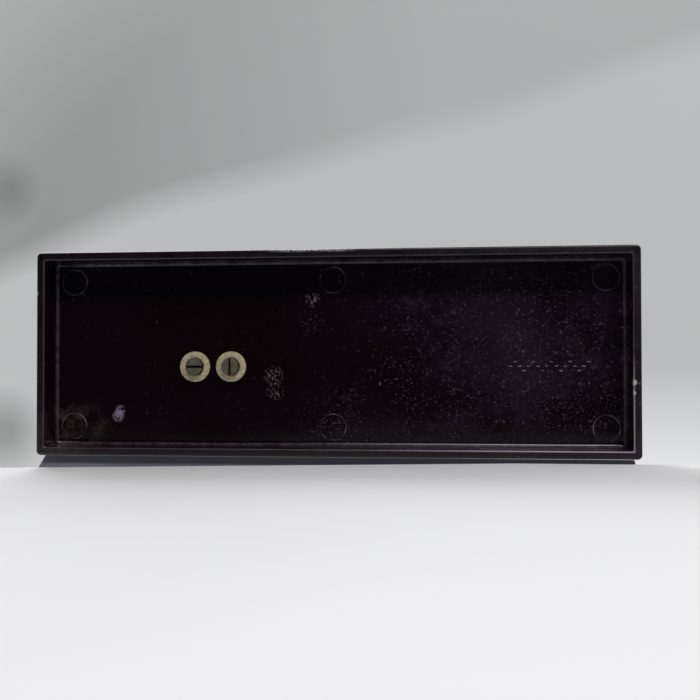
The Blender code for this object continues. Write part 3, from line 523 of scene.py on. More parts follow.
        ragged = tree.remap(tree.noise(240.0, 6.0, rough=0.7), 0.44, 0.66)
        stain = tree.remap(tree.near(self.stained_corner, 15.0), 0.0, 0.6)
        colour = tree.mix(tree.times(stain, tree.times(ragged, under), 0.85), colour, self.dirt)

        scratched = tree.plus(*(self.scratches(tree, turn, fineness) for turn, fineness in self.scratched))
        reach = tree.times(tree.remap(right, 0.1, 0.9, 0.05, 0.62), under)
        patchy = tree.remap(tree.noise(60.0, 3.0), 0.44, 0.62)
        scratched = tree.times(scratched, tree.times(reach, patchy))
        colour = tree.mix(tree.times(scratched, 0.22), colour, self.dust)

        dust = tree.times(tree.flecks(760.0, 0.665), tree.remap(right, 0.0, 1.0, 0.16, 0.50))
        for patch in self.patches:
            close = tree.remap(tree.near(patch.centre, patch.radius), 0.0, 0.7, 0.0, 0.62 * patch.strength)
            dust = tree.plus(dust, tree.times(tree.flecks(patch.scale, patch.level), close))
        dust = tree.times(dust, tree.remap(under, 0.0, 1.0, 0.22))
        colour = tree.mix(dust, colour, self.dust)
        # Dust, and the painted highlights and glints of the marks, all in the dust colour.
        colour = tree.mix(self.marks(tree, under), colour, self.dust)

        chipped = tree.remap(tree.noise(1300.0, 5.0, rough=0.7), 0.45, 0.53)
        edge = tree.times(tree.along("Y", -33.2, -33.9), tree.along("Z", 1.6, 0.6))
        scuff = tree.remap(tree.near(self.scuffed_edge, 15.0), 0.0, 0.35)
        colour = tree.mix(tree.times(chipped, tree.times(scuff, edge)), colour, self.chip)
        for centre, radius, tint in self.spots:
            colour = tree.mix(tree.remap(tree.near(centre, radius), 0.2, 0.4, 0.0, 0.8), colour, tint)

        rough = tree.plus(tree.remap(haze_and_sheen, 0.0, 1.0, *self.gloss), tree.times(tree.plus(dust, rim), 0.25))
        tree.set(base_color=colour, roughness=rough, ior=1.5)
        grain = tree.plus(tree.times(tree.noise(700.0, 4.0), 0.4), scratched)
        tree.bump(tree.plus(grain, dust), 0.02, 0.6)
        return tree.material


@dataclass(frozen=True)
class Metal:
    """A metal with mottled tarnish and a fine directional grain."""

    name: str
    colour: Colour
    stain: Colour
    gloss: tuple[float, float]
    stain_scale: float = 140.0
    stain_from: float = 0.52
    grain: tuple[float, float, float] = (900.0, 60.0, 900.0)
    grain_depth: float = 0.004
    metallic: float = 1.0

    def build(self) -> bpy.types.Material:
        """Make the material.

        Returns:
            The material.
        """
        tree = Tree(self.name)
        patches = tree.noise(self.stain_scale, 6.0, rough=0.62)
        tarnish = tree.remap(patches, self.stain_from - 0.08, self.stain_from + 0.16)
        colour = tree.mix(tarnish, self.colour, self.stain)
        grain = tree.noise(1.0, 3.0, tree.stretched(self.grain))
        uneven = tree.remap(grain, 0.3, 0.7, -0.04, 0.05)
        rough = tree.plus(tree.remap(tarnish, 0.0, 1.0, *self.gloss), uneven)
        tree.set(base_color=colour, roughness=rough, metallic=self.metallic)
        tree.bump(grain, self.grain_depth, 0.7)
        return tree.material


@dataclass(frozen=True)
class AgedFastener:
    """Nickel gone khaki: bright washers, darker oily screw heads, dirt in their slots and a painted shadow
    round each head.
    """

    name: str = "aged_nickel"
    bright: Colour = (0.98, 0.81, 0.52)
    stain: Colour = (0.52, 0.41, 0.26)
    head: Colour = (0.22, 0.185, 0.135)
    # Near black, for the dirt in the slots and pits and for the painted shadow round the heads.
    dirt: Colour = (0.012, 0.009, 0.007)
    axes: tuple[Point, Point] = ((-47.75, 4.45), (-35.15, 4.45))
    head_radius: float = 2.95
    head_top: float = 9.55
    slot_z: Point = (7.95, 8.25)

    def build(self) -> bpy.types.Material:
        """Make the material.

        Returns:
            The material.
        """
        tree = Tree(self.name)
        patches = tree.noise(620.0, 6.0, rough=0.66)
        tarnish = tree.remap(patches, 0.40, 0.68)
        colour = tree.mix(tarnish, self.bright, self.stain)
        (first, row), (second, _) = self.axes
        across = tree.aside(tree.past(tree.coordinate("X"), (first + second) / 2))
        across = tree.past(across, abs(first - second) / 2)
        along = tree.past(tree.coordinate("Y"), row)
        radius = tree.away(across, along)
        within = tree.ramp(radius, self.head_radius, self.head_radius + 0.1, 1.0, 0.0)
        high = tree.along("Z", self.head_top + 0.1, self.head_top)
        mottled = tree.mix(tarnish, self.head, tuple(c * 0.45 for c in self.head))
        colour = tree.mix(tree.times(within, high), colour, mottled)
        # Painted shadow: a dark ring on the washer and the head's side, just round each head.
        ring = tree.times(tree.ramp(radius, 3.0, 3.5, 1.0, 0.0),
                          tree.along("Z", self.head_top, self.head_top + 0.1), 0.75)
        slot = tree.times(within, tree.along("Z", *self.slot_z))
        colour = tree.mix(tree.most(ring, slot), colour, self.dirt)
        pitted = tree.specks(1500.0, 0.30, 0.16)
        colour = tree.mix(tree.times(pitted, 0.5), colour, self.dirt)
        rough = tree.plus(tree.remap(tarnish, 0.0, 1.0, 0.36, 0.58), tree.times(slot, 0.3))
        tree.set(base_color=colour, roughness=rough, metallic=0.40)
        tree.bump(tree.less(tree.noise(1900.0, 4.0), pitted), 0.012, 0.7)
        return tree.material


@dataclass(frozen=True)
class Paint:
    """Lacquer, enamel or dial paint, with slight unevenness, fine dust and a soft orange peel."""

    name: str
    colour: Colour
    shade: Colour
    gloss: tuple[float, float]
    peel: float = 0.006
    dust: Colour = (0.30, 0.29, 0.27)
    dust_share: float = 0.10
    coat: float = 0.0

    def build(self) -> bpy.types.Material:
        """Make the material.

        Returns:
            The material.
        """
        tree = Tree(self.name)
        uneven = tree.remap(tree.noise(70.0, 5.0, rough=0.6), 0.35, 0.7)
        colour = tree.mix(uneven, self.colour, self.shade)
        colour = tree.mix(tree.times(tree.specks(420.0, 0.05, self.dust_share), 0.5), colour, self.dust)
        rough = tree.remap(tree.noise(260.0, 4.0), 0.3, 0.7, *self.gloss)
        tree.set(base_color=colour, roughness=rough, coat_weight=self.coat, coat_roughness=0.06)
        tree.bump(tree.noise(520.0, 3.0), self.peel, 0.6)
        return tree.material


@dataclass(frozen=True)
class ClearGlass:
    """Domed crystal, a little smeared."""

    name: str = "domed_crystal"
    tint: Colour = (0.97, 0.985, 0.98)

    def build(self) -> bpy.types.Material:
        """Make the material.

        Returns:
            The material.
        """
        tree = Tree(self.name)
        smear = tree.remap(tree.noise(90.0, 5.0), 0.45, 0.75, 0.0, 0.035)
        tree.set(base_color=self.tint, roughness=smear, transmission_weight=1.0, ior=1.48)
        return tree.material


@dataclass(frozen=True)
class StageCloth:
    """Pale cloth of the set: soft folds, a fine weave and a gentle change of brightness."""

    name: str = "pale_cloth"
    light: Colour = (0.86, 0.86, 0.875)
    dark: Colour = (0.74, 0.74, 0.755)

    def build(self) -> bpy.types.Material:
        """Make the material.

        Returns:
            The material.
        """
        tree = Tree(self.name)
        soft = tree.remap(tree.noise(4.0, 2.0), 0.35, 0.65)
        weave = tree.noise(1.0, 2.0, tree.stretched((2600.0, 2600.0, 2600.0)))
        tree.set(base_color=tree.mix(soft, self.light, self.dark), roughness=0.9, specular_ior_level=0.2)
        tree.bump(weave, 0.05, 0.35)
        return tree.material


class Finishes:
    """The clock's finishes, one for each slot, made when they are first asked for."""

    recipes = {
        Slot.PLASTIC: MouldedPlastic(),
        Slot.LACQUER: Paint("black_lacquer", (0.006, 0.006, 0.007), (0.010, 0.010, 0.011), (0.10, 0.20),
                            coat=0.6),
        Slot.AGED_STEEL: AgedFastener(),
        Slot.BRASS: Metal("lacquered_brass", (0.71, 0.51, 0.23), (0.52, 0.34, 0.13), (0.17, 0.31), 110.0,
                          0.60),
        Slot.MOVEMENT: Metal("satin_brass", (0.72, 0.53, 0.25), (0.52, 0.36, 0.15), (0.28, 0.42), 160.0,
                             0.58, (120.0, 1500.0, 1500.0), 0.006),
        Slot.STEEL: Metal("satin_steel", (0.52, 0.52, 0.53), (0.33, 0.31, 0.29), (0.24, 0.42), 180.0, 0.62,
                          (1500.0, 140.0, 1500.0), 0.005),
        Slot.BLUED: Metal("blued_spring_steel", (0.045, 0.060, 0.165), (0.10, 0.055, 0.105), (0.20, 0.34),
                          90.0, 0.55, (1500.0, 1500.0, 140.0), 0.003),
        Slot.CREAM: Paint("dial_enamel", (0.78, 0.72, 0.56), (0.70, 0.61, 0.42), (0.42, 0.58), 0.004,
                          (0.32, 0.24, 0.14), 0.06),
        Slot.HAND_BLACK: Paint("black_enamel", (0.010, 0.010, 0.011), (0.020, 0.019, 0.018), (0.25, 0.40)),
        Slot.HAND_RED: Paint("red_enamel", (0.46, 0.028, 0.016), (0.34, 0.018, 0.012), (0.25, 0.38)),
        Slot.GLASS: ClearGlass(),
    }
    made: dict[Slot, bpy.types.Material] = {}

    @classmethod
    def get(cls, slot: Slot) -> bpy.types.Material:
        """The material of a slot.

        Args:
            slot: The slot.

        Returns:
            Its material.
        """
        if slot not in cls.made:
            cls.made[slot] = cls.recipes[slot].build()
        return cls.made[slot]


# ---------------------------------------------------------------- mesh work


class Bench:
    """Makes mesh pieces in the row frame from sizes in millimetres.

    A piece made about the depth axis takes its outline as (x, z) from the drum's axis and its depth as y.
    """

    drum_x: float = 0.0
    drum_z: float = 0.0

    @classmethod
    def measure(cls) -> None:
        """Find the drum's axis, in millimetres, from the frame's bezel."""
        low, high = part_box("front_bezel")
        cls.drum_x = (low.x + high.x) / 2 / MM
        cls.drum_z = (low.z + high.z) / 2 / MM

    @classmethod
    def placing(cls, axis: Axis, centre: Point) -> Matrix:
        """Matrix from a piece's own (across, up, along) millimetres to metres in the row frame.

        Args:
            axis: Whether the piece's long axis is the clock's depth or its height.
            centre: Where its axis stands: (x, z) from the drum's axis, or (x, y) in the row frame.

        Returns:
            The placing matrix.
        """
        if axis is Axis.DEPTH:
            turn = Matrix(((1, 0, 0, 0), (0, 0, 1, 0), (0, 1, 0, 0), (0, 0, 0, 1)))
            shift = Matrix.Translation((cls.drum_x + centre[0], 0.0, cls.drum_z + centre[1]))
        else:
            turn = Matrix.Identity(4)
            shift = Matrix.Translation((centre[0], centre[1], 0.0))
        return Matrix.Scale(MM, 4) @ shift @ turn

    @staticmethod
    def linked(name: str, data: bpy.types.ID) -> bpy.types.Object:
        """A new object in the scene.

        Args:
            name: Its name.
            data: Its mesh, curve, light or camera.

        Returns:
            The object.
        """
        made = bpy.data.objects.new(name, data)
        bpy.context.scene.collection.objects.link(made)
        return made

    @staticmethod
    def finish(name: str, shape: bmesh.types.BMesh, placing: Matrix) -> bpy.types.Object:
        """Turn a bmesh into an object with clean outward faces and smooth shading.

        Args:
            name: The object's name.
            shape: Its shape, which is used up.
            placing: From the shape's own sizes to metres in the row frame.

        Returns:
            The object.
        """
        shape.transform(placing)
        bmesh.ops.remove_doubles(shape, verts=shape.verts, dist=1e-7)
        bmesh.ops.recalc_face_normals(shape, faces=shape.faces)
        mesh = bpy.data.meshes.new(name)
        shape.to_mesh(mesh)
        shape.free()
        piece = Bench.linked(name, mesh)
        Bench.smooth(piece)
        return piece

    @staticmethod
    def smooth(piece: bpy.types.Object) -> None:
        """Shade round faces smooth and keep real edges sharp."""
        piece.data.shade_smooth()
        piece.data.set_sharp_from_angle(angle=math.radians(SHARP_ANGLE))

    @staticmethod
    def rounded(points: Outline, radius: float, closed: bool = True, steps: int = 4) -> Outline:
        """Round the corners of an outline.

        Args:
            points: Corners in order.
            radius: Largest rounding, cut back where an edge is short.
            closed: Whether the last point joins the first.
            steps: Points on each rounding.

        Returns:
            The outline with a short curve for each corner.
        """
        result: Outline = []
        count = len(points)
        for i, corner in enumerate(points):
            if not closed and i in (0, count - 1):
                result.append(corner)
                continue
            here = Vector(corner)
            back = Vector(points[i - 1]) - here
            ahead = Vector(points[(i + 1) % count]) - here
            cut = min(radius, 0.45 * back.length, 0.45 * ahead.length)
            start = here + back.normalized() * cut
            end = here + ahead.normalized() * cut
            for k in range(steps):
                t = k / (steps - 1)
                spot = start * (1 - t) ** 2 + here * 2 * t * (1 - t) + end * t ** 2
                result.append((spot.x, spot.y))
        return result

    @classmethod
    def turned(cls, name: str, profile: Outline, axis: Axis = Axis.DEPTH, centre: Point = (0.0, 0.0),
               steps: int = 96, closed: bool = False,
               swell: Callable[[float, float], float] | None = None) -> bpy.types.Object:
        """A turned piece.

        Args:
            name: The piece's name.
            profile: (radius, place along the axis); a radius of 0 is a pole.
            axis: The axis it is turned about.
            centre: Where the axis stands.
            steps: Facets round it.
            closed: Whether the profile is a loop, which makes a ring.
            swell: Radius to add for a profile radius and an angle, for flutes.

        Returns:
            The piece.
        """
        shape = bmesh.new()
        rings = []
        for radius, along in profile:
            if radius < 1e-6:
                rings.append([shape.verts.new((0.0, 0.0, along))] * steps)
                continue
            ring = []
            for i in range(steps):
                angle = 2 * math.pi * i / steps
                reach = radius + (swell(radius, angle) if swell else 0.0)
                ring.append(shape.verts.new((reach * math.cos(angle), reach * math.sin(angle), along)))
            rings.append(ring)
        pairs = list(zip(rings, rings[1:]))
        if closed:
            pairs.append((rings[-1], rings[0]))
        for lower, upper in pairs:
            for i in range(steps):
                j = (i + 1) % steps
                corners = list(dict.fromkeys((lower[i], lower[j], upper[j], upper[i])))
                if len(corners) > 2:
                    shape.faces.new(corners)
        return cls.finish(name, shape, cls.placing(axis, centre))

    @classmethod
    def flat(cls, name: str, outline: Outline, span: Point, edge: float = 0.08,
             holes: Sequence[Outline] = (), placing: Matrix | None = None) -> bpy.types.Object:
        """A flat piece with softened edges, cut from an outline.

        Args:
            name: The piece's name.
            outline: Its outer outline.
            span: Where it starts and ends along the axis.
            edge: Width of the softened edge.
            holes: Outlines of its openings.
            placing: Its place, or None for the drum's axis.

        Returns:
            The piece.
        """
        curve = bpy.data.curves.new(name, "CURVE")
        curve.dimensions = "2D"
        curve.fill_mode = "BOTH"
        curve.extrude = (span[1] - span[0]) / 2 - edge
        curve.bevel_depth = edge
        curve.bevel_resolution = 1
        curve.offset = -edge
        for ring in (outline, *holes):
            spline = curve.splines.new("POLY")
            spline.points.add(len(ring) - 1)
            for point, (across, up) in zip(spline.points, ring):
                point.co = (across, up, 0.0, 1.0)
            spline.use_cyclic_u = True
        shape = cls.drawn(name, curve)
        bmesh.ops.translate(shape, verts=shape.verts, vec=(0.0, 0.0, (span[0] + span[1]) / 2))
        bmesh.ops.remove_doubles(shape, verts=shape.verts, dist=1e-4)
        return cls.finish(name, shape, placing or cls.placing(Axis.DEPTH, (0.0, 0.0)))

    @classmethod
    def prisms(cls, name: str, outlines: Sequence[Outline], span: Point,
               centre: Point = (0.0, 0.0)) -> bpy.types.Object:
        """Straight bars along the depth axis, in one piece.

        Args:
            name: The piece's name.
            outlines: The outline of each bar.
            span: Where they start and end along the axis.
            centre: Where the outlines' own origin stands.

        Returns:
            The piece.
        """
        shape = bmesh.new()
        for outline in outlines:
            cls.skin(shape, [[(across, up, along) for across, up in outline] for along in span])
        return cls.finish(name, shape, cls.placing(Axis.DEPTH, centre))

    @staticmethod
    def skin(shape: bmesh.types.BMesh, rings: Sequence[Sequence[Sequence[float]]]) -> None:
        """Add a closed skin over rings of the same number of points, with flat ends.

        Args:
            shape: What it is added to.
            rings: The rings, from end to end.
        """
        made = [[shape.verts.new(point) for point in ring] for ring in rings]
        for lower, upper in zip(made, made[1:]):
            for i in range(len(lower)):
                j = (i + 1) % len(lower)
                shape.faces.new((lower[i], lower[j], upper[j], upper[i]))
        shape.faces.new(made[0])
        shape.faces.new(made[-1])

    @staticmethod
    def evaluated(source: bpy.types.Object) -> bmesh.types.BMesh:
        """The shape of an object with its modifiers applied.

        Args:
            source: The object.

        Returns:
            Its shape.
        """
        bpy.context.view_layer.update()
        depsgraph = bpy.context.evaluated_depsgraph_get()
        mesh = bpy.data.meshes.new_from_object(source.evaluated_get(depsgraph), depsgraph=depsgraph)
        shape = bmesh.new()
        shape.from_mesh(mesh)
        bpy.data.meshes.remove(mesh)
        return shape

    @classmethod
    def drawn(cls, name: str, curve: bpy.types.Curve) -> bmesh.types.BMesh:
        """The shape that a curve or a text stands for.

        Args:
            name: A name for the work.
            curve: The curve or text.

        Returns:
            Its shape.
        """
        source = cls.linked(name, curve)
        shape = cls.evaluated(source)
        bpy.data.objects.remove(source)
        return shape

    @classmethod
    def loft(cls, name: str, rings: Sequence[Sequence[Sequence[float]]],
             placing: Matrix | None = None) -> bpy.types.Object:
        """A closed piece over rings of the same number of points, with flat ends.

        Args:
            name: The piece's name.
            rings: The rings, from end to end.
            placing: Its place, or None for the row frame.

        Returns:
            The piece.
        """
        shape = bmesh.new()
        cls.skin(shape, rings)
        return cls.finish(name, shape, placing or Matrix.Scale(MM, 4))

    @classmethod
    def block(cls, name: str, size: Sequence[float], centre: Sequence[float], edge: float,
              turn: float = 0.0) -> bpy.types.Object:
        """A small block with rounded edges, in the row frame.

        Args:
            name: The piece's name.
            size: Its length, width and height.
            centre: Its middle.
            edge: Radius of its edges, or 0 for sharp ones.
            turn: Degrees that it is turned about the upright axis.

        Returns:
            The piece.
        """
        shape = bmesh.new()
        bmesh.ops.create_cube(shape, size=1.0)
        bmesh.ops.scale(shape, vec=size, verts=shape.verts)
        if edge:
            bmesh.ops.bevel(shape, geom=list(shape.edges), offset=edge, segments=3, profile=0.5,
                            affect="EDGES")
        turned = Matrix.Rotation(math.radians(turn), 4, "Z")
        return cls.finish(name, shape, Matrix.Scale(MM, 4) @ Matrix.Translation(centre) @ turned)

    @classmethod
    def combine(cls, target: bpy.types.Object, tools: Iterable[bpy.types.Object],
                operation: str) -> bpy.types.Object:
        """Join or cut a piece with others, which are used up.

        Args:
            target: The piece that stays, under its own name.
            tools: The other pieces.
            operation: UNION or DIFFERENCE.

        Returns:
            The piece.
        """
        tools = list(tools)
        for tool in tools:
            modifier = target.modifiers.new("boolean", "BOOLEAN")
            modifier.operation = operation
            modifier.solver = "EXACT"
            modifier.object = tool
        shape = cls.evaluated(target)
        target.modifiers.clear()
        shape.to_mesh(target.data)
        shape.free()
        for tool in tools:
            bpy.data.objects.remove(tool)
        cls.smooth(target)
        return target

    @classmethod
    def cut(cls, target: bpy.types.Object, *tools: bpy.types.Object) -> bpy.types.Object:
        """Cut the tools out of a piece."""
        return cls.combine(target, tools, "DIFFERENCE")

    @classmethod
    def weld(cls, target: bpy.types.Object, *tools: bpy.types.Object) -> bpy.types.Object:
        """Join the tools to a piece."""
        return cls.combine(target, tools, "UNION")

    @staticmethod
    def gather(name: str, pieces: Sequence[bpy.types.Object]) -> bpy.types.Object:
        """Put several separate shapes into one object.

        Args:
            name: The object's name.
            pieces: The shapes, which are used up.

        Returns:
            The object.
        """
        shape = bmesh.new()
        for piece in pieces:
            shape.from_mesh(piece.data)
            bpy.data.objects.remove(piece)
        return Bench.finish(name, shape, Matrix.Identity(4))


class Draw:
    """Outlines in millimetres."""

    @staticmethod
    def box(left: float, low: float, right: float, high: float) -> Outline:
        """A rectangle's four corners."""
        return [(left, low), (right, low), (right, high), (left, high)]

    @staticmethod
    def rod(radius: float, low: float, high: float) -> Outline:
        """Profile of a plain round rod."""
        return Draw.box(0.0, low, radius, high)

    @staticmethod
    def moved(outline: Outline, place: Point) -> Outline:
        """An outline moved to a place."""
        return [(place[0] + x, place[1] + z) for x, z in outline]

    @staticmethod
    def circle(radius: float, count: int = 64, centre: Point = (0.0, 0.0)) -> Outline:
        """Points round a circle."""
        return [(centre[0] + radius * math.cos(2 * math.pi * i / count),
                 centre[1] + radius * math.sin(2 * math.pi * i / count)) for i in range(count)]

    @staticmethod
    def arc(radius: float, start: float, end: float, count: int, centre: Point = (0.0, 0.0)) -> Outline:
        """Points along an arc between two angles in degrees."""
        turns = [math.radians(start + (end - start) * i / (count - 1)) for i in range(count)]
        return [(centre[0] + radius * math.cos(a), centre[1] + radius * math.sin(a)) for a in turns]

    @staticmethod
    def polar(radius: float, angle: float) -> Point:
        """The point at a radius and an angle in degrees."""
        return (radius * math.cos(math.radians(angle)), radius * math.sin(math.radians(angle)))

    @staticmethod
    def turned(points: Outline, clockwise: float) -> Outline:
        """An outline turned clockwise by an angle in degrees."""
        c, s = math.cos(math.radians(clockwise)), math.sin(math.radians(clockwise))
        return [(x * c + z * s, z * c - x * s) for x, z in points]

    @staticmethod
    def slot(centre: Point, radius: float, middle: float, half_angle: float, half_width: float) -> Outline:
        """A slot along an arc, with round ends.

        Args:
            centre: The arc's centre.
            radius: The arc's radius.
            middle: Angle of the slot's middle in degrees.
            half_angle: Half the angle between the centres of its ends.
            half_width: Half its width.

        Returns:
            The outline.
        """
        low, high = middle - half_angle, middle + half_angle
        ends = [Draw.polar(radius, a) for a in (low, high)]
        outer = Draw.arc(radius + half_width, low, high, 24)
        inner = Draw.arc(radius - half_width, high, low, 24)
        cap = Draw.arc(half_width, high, high + 180.0, 8, ends[1])[1:-1]
        foot = Draw.arc(half_width, low + 180.0, low + 360.0, 8, ends[0])[1:-1]
        return Draw.moved(outer + cap + inner + foot, centre)

    @staticmethod
    def slab(half_length: float, half_width: float, radius: float, corner_points: int = 7) -> Outline:
        """A rectangle with round corners, always with the same number of points.

        Args:
            half_length: Half its length.
            half_width: Half its width.
            radius: Radius of its corners.
            corner_points: Points on each corner.

        Returns:
            The outline.
        """
        points: Outline = []
        for i, (sx, sy) in enumerate(((1, 1), (-1, 1), (-1, -1), (1, -1))):
            centre = (sx * (half_length - radius), sy * (half_width - radius))
            points += Draw.arc(radius, i * 90.0, (i + 1) * 90.0, corner_points, centre)
        return points


class Assembly:
    """What every sub-assembly shares: handing its pieces to a body, a slot and the nodes they stand for."""

    def dress(self, piece: bpy.types.Object, body: Body, slot: Slot, *nodes: str,
              finish: bpy.types.Material | None = None) -> bpy.types.Object:
        """Give a piece its finish, its body and the frame's nodes that it replaces.

        Args:
            piece: The finished mesh.
            body: The body it moves with.
            slot: The record's slot of its finish.
            nodes: The frame's nodes it stands for.
            finish: A finish of its own, or None for the slot's.

        Returns:
            The piece.
        """
        piece.data.materials.clear()
        piece.data.materials.append(finish or Finishes.get(slot))
        even = piece.modifiers.new("even_shading", "WEIGHTED_NORMAL")
        even.keep_sharp = True
        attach(piece, body.value)
        if nodes:
            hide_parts(*nodes)
        LOG.info("%s: %s on %s, %d faces", type(self).__name__, piece.name, body.value,
                 len(piece.data.polygons))
        return piece


# ---------------------------------------------------------------- sub-assemblies


@dataclass
class Plinth(Assembly):
    """Long moulded plinth, open underneath, with ejector marks and a row of plain raised dashes."""

    length: float = 200.0
    depth: float = 68.6
    height: float = 13.0
    wall: float = 2.75
    recess: float = 10.4
    top_edge: float = 1.0
    rim_edge: float = 0.7
    lip_edge: float = 0.55
    draft: float = 0.25
    fillet: float = 1.6
    corner: float = 1.6
    inner_corner: float = 1.2
    ejector_radius: float = 4.4
    ejector_xs: tuple[float, ...] = (-90.75, 0.0, 90.75)
    ejector_y: float = 25.0
    ridge: Point = (0.26, 0.13)
    dash_count: int = 18
    dash_start: float = 59.5
    dash_pitch: float = 1.5
    dash_size: tuple[float, float, float] = (1.15, 0.40, 0.5)
    dash_rows: tuple[float, ...] = (0.0, -1.5, 0.0, 1.5)
    screw_y: float = 4.45
    seat_radius: float = 5.4
    seat_top: float = 10.9
    hole_radius: float = 1.7

    def section(self) -> list[tuple[float, float, float]]:
        """The moulding's section, from the top over the rim to the ceiling.

        Returns:
            Inset, height and corner radius of each ring.
        """
        quarter = [math.radians(90.0 * k / 4) for k in range(5)]
        rings = [(self.top_edge * (1 - math.sin(a)), self.height - self.top_edge * (1 - math.cos(a)))
                 for a in quarter]
        rings += [(self.rim_edge * (1 - math.cos(a)), self.rim_edge * (1 - math.sin(a))) for a in quarter]
        lip = self.wall - self.lip_edge
        rings += [(lip + self.lip_edge * math.sin(a), self.lip_edge * (1 - math.cos(a))) for a in quarter]
        deep = self.wall + self.draft
        rings += [(deep + self.fillet * (1 - math.cos(a)), self.recess - self.fillet * (1 - math.sin(a)))
                  for a in quarter]
        outer = 10
        return [(inset, z, max(self.corner - inset, 0.3) if i < outer else self.inner_corner)
                for i, (inset, z) in enumerate(rings)]

    def marks(self) -> list[bpy.types.Object]:
        """Ridges round the ejector marks, and the raised dashes.

        Returns:
            The pieces, to be joined to the moulding.
        """
        width, proud = self.ridge
        low, high = self.recess - proud, self.recess + 0.2
        inner, outer = self.ejector_radius - width / 2, self.ejector_radius + width / 2
        profile = Bench.rounded([(outer, high), (outer, low), (inner, low), (inner, high)], 0.1)
        tools = []
        for x in self.ejector_xs:
            for y in (-self.ejector_y, self.ejector_y):
                tools.append(Bench.turned("ridge", profile, Axis.HEIGHT, (x, y), 72, closed=True))
        for i in range(self.dash_count):
            y = self.screw_y + self.dash_rows[i % len(self.dash_rows)]
            centre = (self.dash_start + i * self.dash_pitch, y, self.recess + 0.05)
            tools.append(Bench.block("dash", self.dash_size, centre, 0.12))
        return tools

    def build(self, screw_xs: Sequence[float]) -> None:
        """Make and dress the plinth.

        Args:
            screw_xs: Where the two base screws stand.
        """
        rings = []
        for inset, z, corner in self.section():
            slab = Draw.slab(self.length / 2 - inset, self.depth / 2 - inset, corner)
            rings.append([(x, y, z) for x, y in slab])
        body = Bench.loft("plinth_moulding", rings)
        body = Bench.weld(body, *self.marks())
        cutters = []
        for x in screw_xs:
            seat = Draw.rod(self.seat_radius, self.recess - 1.0, self.seat_top)
            hole = Draw.rod(self.hole_radius, self.recess, self.height + 1.0)
            cutters.append(Bench.turned("seat", seat, Axis.HEIGHT, (x, self.screw_y), 64))
            cutters.append(Bench.turned("hole", hole, Axis.HEIGHT, (x, self.screw_y), 32))
        self.dress(Bench.cut(body, *cutters), Body.CASE, Slot.PLASTIC, "plinth")


@dataclass
class BaseFasteners(Assembly):
    """Two slotted cheese-head screws on flat washers, under the plinth."""

    head_radius: float = 2.9
    head_height: float = 1.8
    head_edge: float = 0.28
    slot_width: float = 0.8
    slot_depth: float = 1.0
    shank_radius: float = 1.35
    washer_edge: float = 0.14
    washer_bore: float = 1.7
    slot_turns: dict[str, float] = field(default_factory=lambda: {"left": 0.0, "right": 90.0})

    def washer(self, side: str) -> Point:
        """Make one washer.

        Args:
            side: left or right.

        Returns:
            The place of its axis.
        """
        low, high = (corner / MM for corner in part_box("base_washer_" + side))
        centre = ((low.x + high.x) / 2, (low.y + high.y) / 2)
        radius = (high.x - low.x) / 2
        ring = [(radius, low.z + 0.06), (radius, high.z), (self.washer_bore, high.z),
                (self.washer_bore, low.z), (radius * 0.72, low.z)]
        ring = Bench.rounded(ring, self.washer_edge)
        piece = Bench.turned("washer_" + side, ring, Axis.HEIGHT, centre, 96, closed=True)
        self.dress(piece, Body.CASE, Slot.AGED_STEEL, "base_washer_" + side)
        return centre

    def screw(self, side: str, centre: Point) -> None:
        """Make one screw with its slot.

        Args:
            side: left or right.
            centre: The place of its axis.
        """
        low, high = (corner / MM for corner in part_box("base_screw_" + side))
        seat = low.z + self.head_height
        profile = [(0.0, low.z), (self.head_radius, low.z), (self.head_radius, seat),
                   (self.shank_radius, seat), (self.shank_radius, high.z - 0.5), (0.9, high.z),
                   (0.0, high.z)]
        profile = Bench.rounded(profile, self.head_edge, closed=False)
        piece = Bench.turned("screw_" + side, profile, Axis.HEIGHT, centre, 96)
        size = (2.5 * self.head_radius, self.slot_width, 2 * self.slot_depth)
        slot = Bench.block("slot", size, (*centre, low.z), 0.0, self.slot_turns[side])
        self.dress(Bench.cut(piece, slot), Body.CASE, Slot.AGED_STEEL, "base_screw_" + side)

    def build(self) -> list[float]:
        """Make both sets.

        Returns:
            Where they stand along the plinth.
        """
        places = []
        for side in self.slot_turns:
            centre = self.washer(side)
            self.screw(side, centre)
            places.append(centre[0])
        return places


